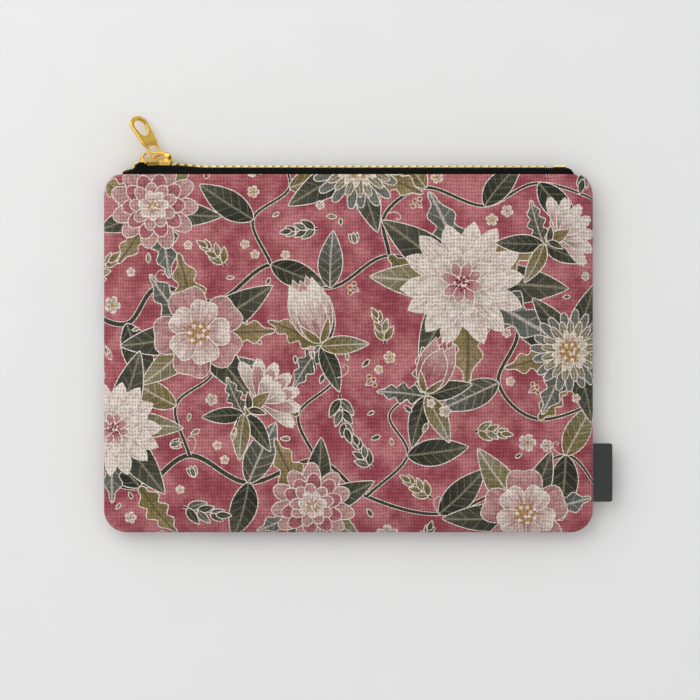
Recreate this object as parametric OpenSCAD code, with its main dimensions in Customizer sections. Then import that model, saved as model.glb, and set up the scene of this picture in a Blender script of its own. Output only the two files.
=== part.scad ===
// Zip pouch: a lined cloth pouch that lies on its back, closed along its top edge by a metal zip.
// +X runs along the zip, +Y points from the bottom fold to the zip and +Z points up out of the front.

/* [Pouch] */
// Width of the sewn pouch, side seam to side seam
pouch_w = 216; // [160:1:300]
// Height of the cloth, bottom seam to the edge beside the zip
pouch_h = 158; // [110:1:220]
// Thickness of the filled pouch at its middle
pouch_t = 16; // [15:0.5:24]
// Height of the side seam above the table
seam_z = 7.4; // [7.2:0.1:8.5]
// Radius of the two bottom corners
bottom_r = 10; // [6:0.5:20]
// Width of the rounded top corners, measured along the zip
top_corner_w = 6.5; // [5:0.5:12]
// Height of the rounded top corners
top_corner_h = 10; // [6:0.5:20]

/* [Cloth] */
// Thickness of the outer canvas
canvas_t = 0.8; // [0.5:0.05:1.2]
// Thickness of the lining
lining_t = 0.5; // [0.3:0.05:0.8]
// Width of the seam allowance turned inside
seam_allow = 3; // [2:0.5:4]
// Distance from the canvas edge down to the lining's top edge
lining_setback = 3; // [2:0.5:6]
// Fullness of the filled pouch: higher is flatter on top
fill_power = 4.5; // [3:0.1:7]

/* [Zip] */
// Height of the zip's mid plane above the canvas edge
zip_rise = 2.7; // [2.5:0.1:3.5]
// Half the distance between the two folded tapes
tape_fold = 4.8; // [4.7:0.1:5.2]
// Thickness of the woven tape
tape_t = 0.5; // [0.3:0.05:0.6]
// Width of tape sewn under the canvas
tape_sewn = 8; // [5:0.5:12]
// Distance between teeth on one tape
tooth_pitch = 3.53; // [3.2:0.01:4.2]
// Width of one tooth along the zip
tooth_w = 1.5; // [1.2:0.05:1.6]
// Height of a tooth across the tape
tooth_h = 2.5; // [2.2:0.1:2.6]
// Reach of a tooth from the middle of the zip to its outer end
tooth_reach = 2.7; // [2.5:0.05:2.8]
// Reach of a tooth's head past the middle of the zip
tooth_hook = 0.7; // [0.5:0.05:0.75]
// Length of the bottom stop
bottom_stop_l = 5.7; // [4:0.1:8]
// Length of each top stop
top_stop_l = 2; // [1.6:0.1:2.2]

/* [Slider] */
// Distance from the zip's closed end to the slider's middle
slider_in = 14.6; // [14:0.1:20]
// Length of the slider
slider_l = 14.6; // [13.5:0.1:15]
// Half width of the slider's nose
nose_half = 5.3; // [5.2:0.05:5.6]
// Half width of the slider's tail
tail_half = 3.75; // [3.7:0.05:4]
// Thickness of the slider's two plates
plate_t = 1.2; // [0.9:0.05:1.4]
// Thickness of the bridge that holds the pull tab
bridge_t = 0.8; // [0.6:0.05:1]
// Width of the bridge where the pull tab hangs
bridge_w = 1.05; // [0.8:0.05:1.1]
// Lean of the slider towards the front of the pouch
slider_tilt = 14; // [8:1:16]

/* [Pull tab] */
// Length of the pull tab from its pivot to its tip
tab_l = 20.5; // [17:0.5:26]
// Half width of the pull tab at its round end
tab_half = 4.2; // [4:0.1:5]
// Half width of the pull tab at its eye
eye_half = 3.2; // [3.15:0.05:3.4]
// Thickness of the pull tab
tab_t = 1; // [0.8:0.05:1.05]
// Lean of the resting pull tab along the zip
tab_lean = 30.6; // [25:0.1:35]
// Dip of the resting pull tab towards the table
tab_dip = 8; // [4:1:12]
// Twist of the resting pull tab about its own length
tab_twist = 46; // [44:1:55]

/* [Label] */
// Length of the folded side label along the seam
label_l = 25.8; // [15:0.1:40]
// Reach of the label past the seam
label_reach = 8.5; // [5:0.1:15]
// Distance from the bottom seam up to the label
label_rise = 13.5; // [11:0.1:60]
// Thickness of the label ribbon
ribbon_t = 0.4; // [0.25:0.05:0.6]

/* [Hidden] */

$fn = 32;

// Clearances between pieces that lie on or run in each other.
seam_gap = 0.1;
layer_gap = 0.2;
slot_gap = 0.2;
run_gap = 0.3;

// The pouch's plan: the canvas runs from bottom_y to mouth_y.
mouth_y = pouch_h / 2;
bottom_y = -pouch_h / 2;
mouth_half = pouch_w / 2 - top_corner_w;

// Heights above and below the side seam, and at the mouth where the canvas meets the tape.
front_rise = pouch_t - seam_z - seam_gap;
back_drop = seam_z - seam_gap;
mouth_rise = tape_fold + tape_t / 2 + layer_gap + canvas_t;
lining_depth = canvas_t + tape_t + 4 * layer_gap;
table_flat = 1.3;
roll_power = 0.6;
mouth_power = 60;
corner_allow = 0.8;
corner_slack = 1.2;
mouth_reach = 8;

// The zip's line: it lifts over the slider and sinks into both top corners.
zip_y = mouth_y + zip_rise;
zip_z = seam_z;
slider_lift = 1.5;
end_drop = 0.6;
tape_puff = 2.4;
tape_end = mouth_half - 2;
slider_x = slider_in - tape_end;
nose_x = slider_x - slider_l / 2;
tail_x = slider_x + slider_l / 2;
lift_run = 16;
closed_end_run = 8;
open_end_run = 3;
plates_gap = tooth_h / 2 + run_gap;
roof = plates_gap + plate_t;
post_half = 0.75;
row_part = tooth_hook + post_half + 0.15;
part_start = 0.5;
part_end = 5.5;

// The teeth's places along the zip.
first_tooth = -tape_end + 4.5;
top_stop_x = -tape_end + 1.2;
bottom_stop_x = tape_end - 3.4 - bottom_stop_l;
teeth_count = floor((bottom_stop_x - tooth_w - first_tooth) / tooth_pitch);

// The pull tab's pivot in the slider's own frame, and its bar.
pivot_along = slider_l * 0.04;
pivot_up = roof + 1.45;
bar_r = 0.55;
bridge_under = pivot_up + bar_r + 0.5;
bridge_top = bridge_under + bridge_t;
bridge_half = slider_l / 2 - 0.4;
opening_half = bridge_half - 2.5;
dome_r = 2.1;
foot_r = 1.3;
flange_from = -slider_l * 0.26;
flange_to = slider_l / 2 - 0.9;

// The pull tab's finger hole and the window that clears the bridge.
hole_rim = 1.3;
hole_far = tab_l - tab_half - 0.8;
hole_l = 2.8;
leg_w = 0.65;
window_top = 5.4;

function ease(t) = let(c = min(1, max(0, t))) c * c * (3 - 2 * c);

// Half width of the plan at height y, for a sheet set in from the seams and from the mouth.
function half_width(y, inset, setback) =
    let(
        w = pouch_w / 2 - inset,
        low = bottom_y + inset,
        high = mouth_y - setback,
        r = max(1, bottom_r - inset),
        corner_w = max(1, top_corner_w - max(0, inset - corner_allow)),
        below = low + r - y,
        above = (y - high + top_corner_h) / top_corner_h
    )
    below > 0 ? w - r + sqrt(max(0, r * r - below * below))
    : above > 0 ? w - corner_w + corner_w * sqrt(max(0, 1 - above * above))
    : w;

// Fullness across one direction of the pouch: 1 in the middle and 0 at the seam.
function roll(t) = pow(max(0, 1 - pow(min(1, abs(t)), fill_power)), roll_power);

// How far the canvas stands from the seam plane at plan place (m, s): m runs from -1 to 1 across the
// pouch, s from 0 at the bottom seam to 1 at the mouth.
function bulge(m, s, middle, most) =
    let(mouth = mouth_rise * (1 - pow(min(1, abs(m)), mouth_power)) * pow(s, mouth_reach))
    min(most, mouth + (middle - mouth) * roll(m) * roll(2 * s - 1));

function front_bulge(m, s) = bulge(m, s, front_rise, front_rise);
function back_bulge(m, s) = bulge(m, s, back_drop * table_flat, back_drop);

// A height set inwards by a depth, running out to nothing at the seam.
function set_in(h, depth) = h - depth * min(1, h / (2 * depth));

// One corner of a sheet's grid, at column i of nu and row j of nv.
function sheet_point(i, j, nu, nv, inset, setback, depth, side) =
    let(
        m = -cos(180 * i / nu),
        s = (1 - cos(180 * j / nv)) / 2,
        y = bottom_y + inset + (pouch_h - inset - setback) * s,
        h = side > 0 ? front_bulge(m, s) : back_bulge(m, s)
    )
    [m * half_width(y, inset, setback), y, seam_z + side * (seam_gap + (depth > 0 ? set_in(h, depth) : h))];

// A sewn sheet: an outer and an inner grid of the same plan, closed by a rim along the seams.
// layers holds [inset, setback, depth] for the outer grid and then for the inner one.
module sheet(layers, nu, nv, side) {
    columns = nu + 1;
    count = columns * (nv + 1);
    points = [
        for (l = layers, j = [0:nv], i = [0:nu])
            sheet_point(i, j, nu, nv, l[0], l[1], l[2], side)
    ];
    edge = concat(
        [for (i = [0:nu - 1]) i],
        [for (j = [0:nv - 1]) j * columns + nu],
        [for (i = [nu:-1:1]) nv * columns + i],
        [for (j = [nv:-1:1]) j * columns]
    );
    cells = [for (j = [0:nv - 1], i = [0:nu - 1]) j * columns + i];
    outside = [
        for (c = cells, half = [0, 1])
            half == 0 ? [c, c + columns, c + columns + 1] : [c, c + columns + 1, c + 1]
    ];
    inside = [for (f = outside) [f[2] + count, f[1] + count, f[0] + count]];
    rim = [
        for (k = [0:len(edge) - 1], half = [0, 1])
            let(a = edge[k], b = edge[(k + 1) % len(edge)])
            half == 0 ? [a, b, b + count] : [a, b + count, a + count]
    ];
    faces = concat(outside, inside, rim);
    polyhedron(points, side > 0 ? faces : [for (f = faces) [f[2], f[1], f[0]]]);
}

module canvas_panel(side) {
    color([0.63, 0.28, 0.32])
        sheet([[0, 0, 0], [seam_allow, 0, canvas_t]], 28, 20, side);
}

module lining_panel(side) {
    set = seam_allow + 3 * layer_gap;
    color([0.1, 0.1, 0.11])
        sheet([
            [set, lining_setback, lining_depth],
            [set + 2, lining_setback, lining_depth + lining_t],
        ], 20, 14, side);
}

// The zip's mid line, its lean, and how far each row of teeth stands from the middle at place x.
function near_slider(x) =
    x < nose_x ? ease((x + tape_end + 2) / (nose_x + tape_end + 2)) : 1 - ease((x - tail_x) / lift_run);
function zip_line(x) =
    let(run = x < 0 ? closed_end_run : open_end_run)
    zip_y + slider_lift * near_slider(x) - end_drop * ease((abs(x) - tape_end + run) / run);
function zip_lean(x) = slider_tilt * near_slider(x);
function row_gap(x) =
    let(a = slider_x - x)
    a < part_start ? 0
    : a < part_end ? row_part * ease((a - part_start) / (part_end - part_start))
    : row_part * (1 - 0.6 * ease((a - part_end - 3) / 8));
function slope(low, high, run) = atan((high - low) / run);

// Puts a piece of the zip at place x: +X along the zip, +Y out of it and +Z across it to one side.
module on_zip(x, side) {
    step = 0.5;
    translate([x, zip_line(x), zip_z])
        rotate([0, 0, slope(zip_line(x - step), zip_line(x + step), 2 * step)])
            rotate([zip_lean(x), 0, 0])
                translate([0, 0, side * row_gap(x)])
                    rotate([0, -side * slope(row_gap(x - step), row_gap(x + step), 2 * step), 0])
                        mirror([0, 0, side > 0 ? 0 : 1])
                            children();
}

// Height of the canvas's inner face over the seam plane at place (x, y), where the tape is sewn.
function under_canvas(x, y, side) =
    let(
        s = (y - bottom_y - seam_allow) / (pouch_h - seam_allow),
        m = min(1, (abs(x) + corner_slack) / half_width(y, seam_allow, 0)),
        h = side > 0 ? front_bulge(m, s) : back_bulge(m, s)
    )
    seam_gap + set_in(h, canvas_t) - layer_gap - tape_t / 2;

// Half width of the slider's plan at place x along the zip, and nothing away from the slider.
function slider_half(x) =
    x < nose_x - 6 || x > tail_x + 6 ? 0
    : tail_half + (nose_half - tail_half) * (1 - ease((x - slider_x + slider_l / 2 - 3) / 6));

// How far the front tape is puffed up beside the slider's nose, where no flange holds it down.
function puff_share(x) = ease((x + tape_end) / 5) * (1 - ease((x - slider_x - flange_from + 1.8) / 1.6));

// One tape's line across the zip at place x, from its sewn edge to the edge inside the teeth, as
// [distance beyond the mouth, distance from the seam plane].
function tape_line(x, side) =
    let(
        top = zip_line(x) - mouth_y,
        inner = row_gap(x) + 1.1,
        lean = side * zip_lean(x),
        sewn = under_canvas(x, mouth_y - 0.2, side),
        beside = slider_half(x) * near_slider(x),
        leg = max(sewn, row_gap(x) + tooth_reach + 1, beside + tape_t / 2 + 0.55),
        drop = side > 0 ? 1.2 : 1 + 2.2 * min(1, beside / tail_half),
        flat = [
            [-drop, leg], [-0.3, leg - 0.3], [-0.05, leg - 0.7],
            [0, leg - 1], [0, inner + 0.8], [0, inner],
        ],
        full = [
            [-drop, leg + 0.3], [tape_puff - 0.5, leg + 0.5], [tape_puff, leg + 0.15],
            [tape_puff * 0.4, leg - 0.15], [0, leg - 0.6], [0, inner],
        ],
        puff = side > 0 ? puff_share(x) : 0,
        across = [for (k = [0:len(flat) - 1]) flat[k] * (1 - puff) + full[k] * puff]
    )
    concat(
        [for (back = [tape_sewn, tape_sewn / 2, 0.2]) [-back, under_canvas(x, mouth_y - back, side)]],
        [[0.35, sewn]],
        [
            for (p = across)
                [top + p[0] * cos(lean) - p[1] * sin(lean), p[0] * sin(lean) + p[1] * cos(lean)]
        ]
    );

function unit(v) = v / norm(v);
function line_normal(line, k) =
    let(d = unit(line[min(k + 1, len(line) - 1)] - line[max(k - 1, 0)]))
    [-d[1], d[0]];

// The places along the zip where the tape's shape is worked out: close together near the slider.
tape_stations = concat(
    [for (k = [0:21]) -tape_end + k * (tail_x + lift_run + tape_end) / 21],
    [for (k = [1:5]) tail_x + lift_run + k * (tape_end - 6 - tail_x - lift_run) / 5],
    [for (k = [1:5]) tape_end - 6 + k * 6 / 5]
);

// A woven tape swept along the zip: a band of even thickness along each station's line.
module zip_tape(side) {
    lines = [for (x = tape_stations) tape_line(x, side)];
    across = len(lines[0]);
    ring = 2 * across;
    points = [
        for (i = [0:len(lines) - 1], k = [0:ring - 1])
            let(
                j = k < across ? k : ring - 1 - k,
                n = line_normal(lines[i], j) * (k < across ? tape_t / 2 : -tape_t / 2),
                p = lines[i][j] + n
            )
            [tape_stations[i], mouth_y + p[0], zip_z + side * p[1]]
    ];
    last = (len(lines) - 1) * ring;
    walls = [
        for (i = [0:len(lines) - 2], k = [0:ring - 1], half = [0, 1])
            let(a = i * ring + k, b = i * ring + (k + 1) % ring)
            half == 0 ? [a, b, b + ring] : [a, b + ring, a + ring]
    ];
    caps = [
        for (k = [0:across - 2], half = [0, 1], end = [0, 1])
            let(a = k, b = k + 1, c = ring - 2 - k, d = ring - 1 - k)
            let(f = half == 0 ? [a, c, b] : [a, d, c])
            end == 0 ? f : [f[2] + last, f[1] + last, f[0] + last]
    ];
    faces = concat(walls, caps);
    color([0.05, 0.05, 0.05])
        polyhedron(points, side > 0 ? faces : [for (f = faces) [f[2], f[1], f[0]]]);
}

// A clip's slot for the tape, cut in from its outer end.
module tape_slot(from, gap) {
    half = tape_t / 2 + gap;
    translate([-tooth_pitch, -half, from])
        cube([2 * tooth_pitch, 2 * half, tooth_reach]);
}

// One tooth: legs that straddle the tape and a round head with a nib that hooks the other row.
module tooth() {
    head_r = tooth_w / 2;
    head_h = tooth_h - 0.5;
    nib_r = 0.35;
    difference() {
        union() {
            translate([-tooth_w / 2, -tooth_h / 2, 0.8])
                cube([tooth_w, tooth_h, tooth_reach - 0.8 - 0.3]);
            translate([-tooth_w / 2 + 0.15, -tooth_h / 2 + 0.2, 0.8])
                cube([tooth_w - 0.3, tooth_h - 0.4, tooth_reach - 0.8]);
            translate([-tooth_w / 2, -head_h / 2, head_r - tooth_hook])
                cube([tooth_w, head_h, 1 - head_r + tooth_hook]);
            translate([0, head_h / 2, head_r - tooth_hook])
                rotate([90, 0, 0])
                    cylinder(r = head_r, h = head_h);
            translate([0, head_h / 2 + 0.15, 0])
                rotate([90, 0, 0])
                    cylinder(r = nib_r, h = head_h + 0.3);
        }
        tape_slot(0.9, slot_gap);
    }
}

module teeth_row(side) {
    shift = side > 0 ? 0 : tooth_pitch / 2;
    color([0.83, 0.66, 0.3])
        for (i = [0:teeth_count - 1])
            on_zip(first_tooth + shift + i * tooth_pitch, side)
                tooth();
}

// The clip at the closed end of one row.
module top_stop(side) {
    stop_h = tooth_h - 0.5;
    color([0.83, 0.66, 0.3])
        on_zip(top_stop_x, side)
            difference() {
                translate([-top_stop_l / 2, -stop_h / 2, 0.3])
                    cube([top_stop_l, stop_h, tooth_reach - 0.3]);
                tape_slot(0.9, run_gap);
            }
}

// The bar at the open end that ties both tapes together.
module bottom_stop() {
    bar_h = tooth_h + 0.4;
    color([0.83, 0.66, 0.3])
        on_zip(bottom_stop_x + bottom_stop_l / 2, 1)
            difference() {
                translate([-bottom_stop_l / 2, -bar_h / 2, -tooth_reach])
                    cube([bottom_stop_l, bar_h, 2 * tooth_reach]);
                for (turn = [0, 180])
                    rotate([0, turn, 0])
                        translate([-bottom_stop_l, -tape_t / 2 - slot_gap, 0.9])
                            cube([2 * bottom_stop_l, tape_t + 2 * slot_gap, tooth_reach]);
            }
}

// The slider's own frame: +X towards its tail, +Y out of the zip, +Z across it.
module at_slider() {
    translate([slider_x, zip_line(slider_x), zip_z])
        rotate([slider_tilt, 0, 0])
            children();
}

// A flat shape in the slider's plan, raised from low to high along its +Y.
module plan_slab(low, high) {
    translate([0, high, 0])
        rotate([90, 0, 0])
            linear_extrude(height = high - low)
                children();
}

// A closed outline from its upper half, given from left to right.
module mirrored_outline(upper) {
    polygon(concat(upper, [for (k = [len(upper) - 1:-1:0]) [upper[k][0], -upper[k][1]]]));
}

// The plan of a plate: two round lobes at the nose that draw in to a narrow tail.
module slider_plan() {
    lobe = 2.6;
    waist = 1.5;
    tail_r = 0.8;
    half_l = slider_l / 2;
    mirrored_outline([
        [-half_l, nose_half - lobe],
        [-half_l + lobe, nose_half],
        [waist, tail_half],
        [half_l - tail_r, tail_half],
        [half_l, tail_half - tail_r],
    ]);
    for (z = [-1, 1]) {
        translate([-half_l + lobe, z * (nose_half - lobe)])
            circle(r = lobe);
        translate([half_l - tail_r, z * (tail_half - tail_r)])
            circle(r = tail_r);
    }
}

// The Y-shaped channel that brings both rows of teeth together.
module channel_plan() {
    reach = slider_l / 2 + 1;
    steps = 24;
    mirrored_outline([
        for (k = [0:steps])
            let(a = -reach + 2 * reach * k / steps)
            [a, row_gap(slider_x + a - tooth_w / 2) + tooth_reach + run_gap]
    ]);
}

// The wedge at the nose that parts the rows.
module post_plan() {
    from = -slider_l / 2 + 0.3;
    to = -part_start - 2.9;
    steps = 8;
    mirrored_outline([
        for (k = [0:steps])
            let(a = from + (to - from) * k / steps)
            [a, max(0.05, min(post_half, row_gap(slider_x + a + tooth_w / 2) - tooth_hook - 0.15))]
    ]);
}

// A rounded arch over the roof, as a side view: its middle, half length and height.
module arch_side(middle, half_l, height, power) {
    polygon([
        for (t = [0:9:180])
            [
                middle + half_l * sign(cos(t)) * pow(abs(cos(t)), 2 / power),
                roof + height * pow(abs(sin(t)), 2 / power),
            ]
    ]);
}

// The bridge's side view: the arch less the opening that the pull tab's bar turns in.
module bridge_side() {
    difference() {
        arch_side(0.1, bridge_half, bridge_top - roof, 3);
        arch_side(-1, opening_half, bridge_under - roof, 4);
    }
}

// The bridge: a narrow strip that stands on a small foot at the nose and a broad drop-shaped dome at
// the tail.
module bridge() {
    linear_extrude(height = bridge_w, center = true)
        bridge_side();
    intersection() {
        linear_extrude(height = 2 * dome_r, center = true)
            bridge_side();
        plan_slab(roof, bridge_top) {
            rotate(-90)
                round_taper(dome_r, bridge_half + 0.2 - dome_r, bridge_w / 2, opening_half - 1.2);
            translate([foot_r - bridge_half, 0])
                circle(r = foot_r);
        }
        union() {
            translate([0, bridge_top - dome_r, 0])
                rotate([0, 90, 0])
                    cylinder(r = dome_r, h = slider_l, center = true);
            translate([-slider_l / 2, roof, -dome_r])
                cube([slider_l, bridge_top - roof - dome_r, 2 * dome_r]);
        }
    }
}

// The cast slider: two plates held by the post, flanges that guide the rows, and the bridge.
module slider_body() {
    tape_gate = tape_t / 2 + run_gap;
    color([0.9, 0.7, 0.28])
        at_slider() {
            for (turn = [0, 1])
                mirror([0, turn, 0]) {
                    plan_slab(plates_gap, roof - 0.3 * turn)
                        slider_plan();
                    plan_slab(tape_gate, plates_gap)
                        intersection() {
                            difference() {
                                slider_plan();
                                channel_plan();
                            }
                            translate([flange_from, -nose_half])
                                square([flange_to - flange_from, 2 * nose_half]);
                        }
                }
            plan_slab(-plates_gap, plates_gap)
                post_plan();
            bridge();
        }
}

// A flat shape bounded by two circles on the Y axis and the straight lines that touch both.
module round_taper(r_far, y_far, r_near, y_near) {
    lean = asin((r_far - r_near) / (y_far - y_near));
    for (end = [[r_far, y_far], [r_near, y_near]])
        translate([0, end[1]])
            circle(r = end[0]);
    polygon([
        for (p = [[1, r_near, y_near], [1, r_far, y_far], [-1, r_far, y_far], [-1, r_near, y_near]])
            [p[0] * p[1] * cos(lean), p[2] - p[1] * sin(lean)]
    ]);
}

// The pull tab's outline, drawn in by a margin: round at its far end, square at its eye.
module tab_plan(margin) {
    corner = 0.75;
    far = tab_l - tab_half;
    far_r = tab_half - margin;
    near = eye_half - margin;
    translate([0, far])
        circle(r = far_r);
    polygon([[near, corner - 0.6], [far_r, far], [-far_r, far], [-near, corner - 0.6]]);
    for (x = [-1, 1])
        translate([x * (near - corner), corner - 0.6])
            circle(r = corner);
}

// The pull tab, with its pivot bar along +X and its length along +Y.
module tab_blank() {
    window_half = eye_half - leg_w;
    shoulder = window_top - 1.6;
    difference() {
        union() {
            linear_extrude(height = tab_t, center = true)
                tab_plan(0);
            linear_extrude(height = tab_t + 0.4, center = true)
                intersection() {
                    tab_plan(0.25);
                    translate([-tab_half, window_top + 1])
                        square([2 * tab_half, tab_l]);
                }
        }
        linear_extrude(height = 4 * tab_t, center = true) {
            round_taper(tab_half - hole_rim, hole_far, tab_half - hole_rim - 0.7, hole_far - hole_l);
            polygon([
                [-window_half, -2], [window_half, -2], [window_half, shoulder],
                [window_half - 0.7, window_top], [0.7 - window_half, window_top],
                [-window_half, shoulder],
            ]);
        }
    }
    rotate([0, 90, 0])
        cylinder(r = bar_r, h = 2 * eye_half - 0.8, center = true);
}

module pull_tab() {
    color([0.9, 0.72, 0.32])
        translate([
            slider_x + pivot_along,
            zip_line(slider_x) + pivot_up * cos(slider_tilt),
            zip_z + pivot_up * sin(slider_tilt),
        ])
            rotate([0, 0, tab_lean])
                rotate([-tab_dip, 0, 0])
                    rotate([0, tab_twist, 0])
                        tab_blank();
}

// The side label: a ribbon folded in two, with both ends caught in the side seam.
module side_label() {
    slit = 0.05;
    outer_r = slit + ribbon_t;
    straight = label_reach - outer_r;
    color([0.2, 0.2, 0.2])
        translate([pouch_w / 2 + layer_gap - 0.05, bottom_y + label_rise + label_l, seam_z])
            rotate([90, 0, 0])
                linear_extrude(height = label_l)
                    difference() {
                        union() {
                            translate([0, -outer_r])
                                square([straight, 2 * outer_r]);
                            translate([straight, 0])
                                circle(r = outer_r);
                        }
                        translate([-1, -slit])
                            square([straight + 1, 2 * slit]);
                        translate([straight, 0])
                            circle(r = slit);
                    }
}

canvas_panel(1);  // front_panel
canvas_panel(-1);  // back_panel
lining_panel(1);  // front_lining
lining_panel(-1);  // back_lining
zip_tape(1);  // front_zip_tape
zip_tape(-1);  // back_zip_tape
teeth_row(1);  // front_teeth
teeth_row(-1);  // back_teeth
top_stop(1);  // front_top_stop
top_stop(-1);  // back_top_stop
bottom_stop();
slider_body();
pull_tab();
side_label();
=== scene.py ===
"""Dresses the zip pouch: printed canvas, lining, woven zip tapes, metal teeth, slider, pull tab and label.

Lengths are in millimetres until a mesh is made, in the frame of the CAD: +X runs along the zip, +Y points from
the bottom seam to the zip, and +Z points up out of the front.
"""

import logging
import math
from dataclasses import dataclass, field
from enum import Enum

import bmesh
import bpy
import numpy as np
from mathutils import Matrix, Vector
from mathutils.geometry import delaunay_2d_cdt


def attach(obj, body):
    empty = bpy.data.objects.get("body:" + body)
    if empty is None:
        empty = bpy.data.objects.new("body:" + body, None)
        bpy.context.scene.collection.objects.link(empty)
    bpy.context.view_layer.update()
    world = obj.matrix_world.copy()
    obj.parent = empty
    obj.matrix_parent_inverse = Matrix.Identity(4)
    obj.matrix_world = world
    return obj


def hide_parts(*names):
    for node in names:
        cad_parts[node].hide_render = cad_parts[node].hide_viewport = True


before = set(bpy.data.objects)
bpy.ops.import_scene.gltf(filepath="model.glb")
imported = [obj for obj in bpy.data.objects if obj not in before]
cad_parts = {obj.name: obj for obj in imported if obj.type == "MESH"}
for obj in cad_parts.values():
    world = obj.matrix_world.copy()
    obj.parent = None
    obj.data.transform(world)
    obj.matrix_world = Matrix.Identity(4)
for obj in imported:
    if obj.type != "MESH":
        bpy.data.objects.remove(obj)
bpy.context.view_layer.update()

LOG = logging.getLogger("pouch")
MM = 0.001
TINY = 1e-9
FLIPPED = [0, 3, 2, 1]

Array = np.ndarray
Colour = tuple[float, float, float]
Spot = tuple[float, float] | Array
Piece = bpy.types.Object
Finish = bpy.types.Material
Socket = bpy.types.NodeSocket


class Side(Enum):
    """The two halves of the pouch: the one that faces up and the one on the table."""

    FRONT = 1
    BACK = -1


def srgb(red: int, green: int, blue: int) -> Colour:
    """The linear colour of an 8-bit screen colour."""
    shares_of = (channel / 255 for channel in (red, green, blue))
    return tuple(c / 12.92 if c <= 0.04045 else ((c + 0.055) / 1.055) ** 2.4 for c in shares_of)


def ease(t: Array | float) -> Array | float:
    """A smooth step from 0 to 1 for t from 0 to 1."""
    c = np.clip(t, 0.0, 1.0)
    return c * c * (3 - 2 * c)


def towards(angle: float) -> Array:
    """The unit step at an angle."""
    return np.array([math.cos(angle), math.sin(angle)])


def spaced(count: int) -> Array:
    """Places from -1 to 1, closer together towards both ends, with count spans between them."""
    return -np.cos(np.linspace(0, math.pi, count + 1))


def shares(count: int) -> Array:
    """Places from 0 to 1, closer together towards both ends, with count spans between them."""
    return (spaced(count) + 1) / 2


def through(points: Array, counts: list[int]) -> Array:
    """A smooth curve through points.

    Args:
        points: Rows of two numbers that it passes through.
        counts: Number of steps from each point to the next.

    Returns:
        Rows along the curve.
    """
    padded = np.concatenate([2 * points[:1] - points[1:2], points, 2 * points[-1:] - points[-2:-1]])
    spans = []
    for count, a, b, c, d in zip(counts, padded, padded[1:], padded[2:], padded[3:]):
        t = np.arange(count)[:, None] / count
        square, cube = 2 * a - 5 * b + 4 * c - d, 3 * b - a - 3 * c + d
        spans.append(0.5 * (2 * b + (c - a) * t + square * t**2 + cube * t**3))
    return np.concatenate([*spans, points[-1:]])


def inside(places: Array, outline: Array) -> Array:
    """Whether places are within a closed outline, by its winding round them.

    Args:
        places: One row of two numbers for each place.
        outline: Corners of the outline.

    Returns:
        One truth value for each place.
    """
    turns = np.zeros(len(places), np.int32)
    x, y = places[:, 0], places[:, 1]
    for (x0, y0), (x1, y1) in zip(outline, np.roll(outline, -1, axis=0)):
        left = (x1 - x0) * (y - y0) - (x - x0) * (y1 - y0)
        turns += (y0 <= y) & (y1 > y) & (left > 0)
        turns -= (y0 > y) & (y1 <= y) & (left < 0)
    return turns != 0


def smoothed(grid: Array, passes: int) -> Array:
    """Averages a grid with its neighbours.

    Args:
        grid: Rows of numbers.
        passes: How many times it is averaged.

    Returns:
        The smoother grid.
    """
    for _ in range(passes):
        padded = np.pad(grid, 1, mode="edge")
        grid = (padded[:-2, 1:-1] + 2 * padded[1:-1, 1:-1] + padded[2:, 1:-1]) / 4
        padded = np.pad(grid, 1, mode="edge")
        grid = (padded[1:-1, :-2] + 2 * padded[1:-1, 1:-1] + padded[1:-1, 2:]) / 4
    return grid


def grid_quads(number: Array) -> Array:
    """Quads between the vertices of a grid, from the grid of their numbers."""
    corners = [number[:-1, :-1], number[:-1, 1:], number[1:, 1:], number[1:, :-1]]
    return np.stack(corners, axis=-1).reshape(-1, 4)


def grid_rim(number: Array) -> Array:
    """Vertex numbers round the edge of a grid, from the grid of their numbers."""
    return np.concatenate([number[0, :-1], number[:-1, -1], number[-1, :0:-1], number[:0:-1, 0]])


def band(line: Array, thick: float, hand: int = 1) -> Array:
    """The closed outline of a strip of even thickness along a line.

    Args:
        line: Rows of two numbers, on the last axis but one.
        thick: The strip's thickness.
        hand: 1 to start on the left of the line, or -1 on its right.

    Returns:
        One face along the line, then the other one back.
    """
    ahead = np.gradient(line, axis=-2)
    out = np.stack([-ahead[..., 1], ahead[..., 0]], axis=-1)
    out *= hand * thick / 2 / np.maximum(np.linalg.norm(out, axis=-1, keepdims=True), TINY)
    return np.concatenate([line + out, (line - out)[..., ::-1, :]], axis=-2)


def swept(rings: int, size: int) -> Array:
    """Faces of a strip that is swept through rings of vertices, with both ends closed.

    Args:
        rings: Number of rings.
        size: Number of vertices of each ring, half of them on each face of the strip.

    Returns:
        Rows of four vertex numbers.
    """
    number = np.arange(rings * size).reshape(rings, size)
    after = np.roll(number, -1, axis=1)
    walls = np.stack([number[:-1], after[:-1], after[1:], number[1:]], axis=-1).reshape(-1, 4)
    cap = np.array([(k, size - 1 - k, size - 2 - k, k + 1) for k in range(size // 2 - 1)])
    return np.concatenate([walls, cap, cap[:, ::-1] + number[-1, 0]])


def linked(name: str, data: bpy.types.ID) -> Piece:
    """Makes a scene object of a mesh, a lamp or a camera.

    Args:
        name: The object's name.
        data: What it shows.

    Returns:
        The object.
    """
    piece = bpy.data.objects.new(name, data)
    bpy.context.scene.collection.objects.link(piece)
    return piece


def new_piece(name: str, points: Array, faces: list) -> Piece:
    """Makes a mesh object from points in millimetres.

    Args:
        name: The piece's name.
        points: One row of x, y and z for each vertex.
        faces: Vertex numbers of each face, turned outwards.

    Returns:
        The new object, shaded smooth.
    """
    mesh = bpy.data.meshes.new(name)
    mesh.from_pydata((np.asarray(points, float) * MM).tolist(), [], faces)
    mesh.shade_smooth()
    return linked(name, mesh)


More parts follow.
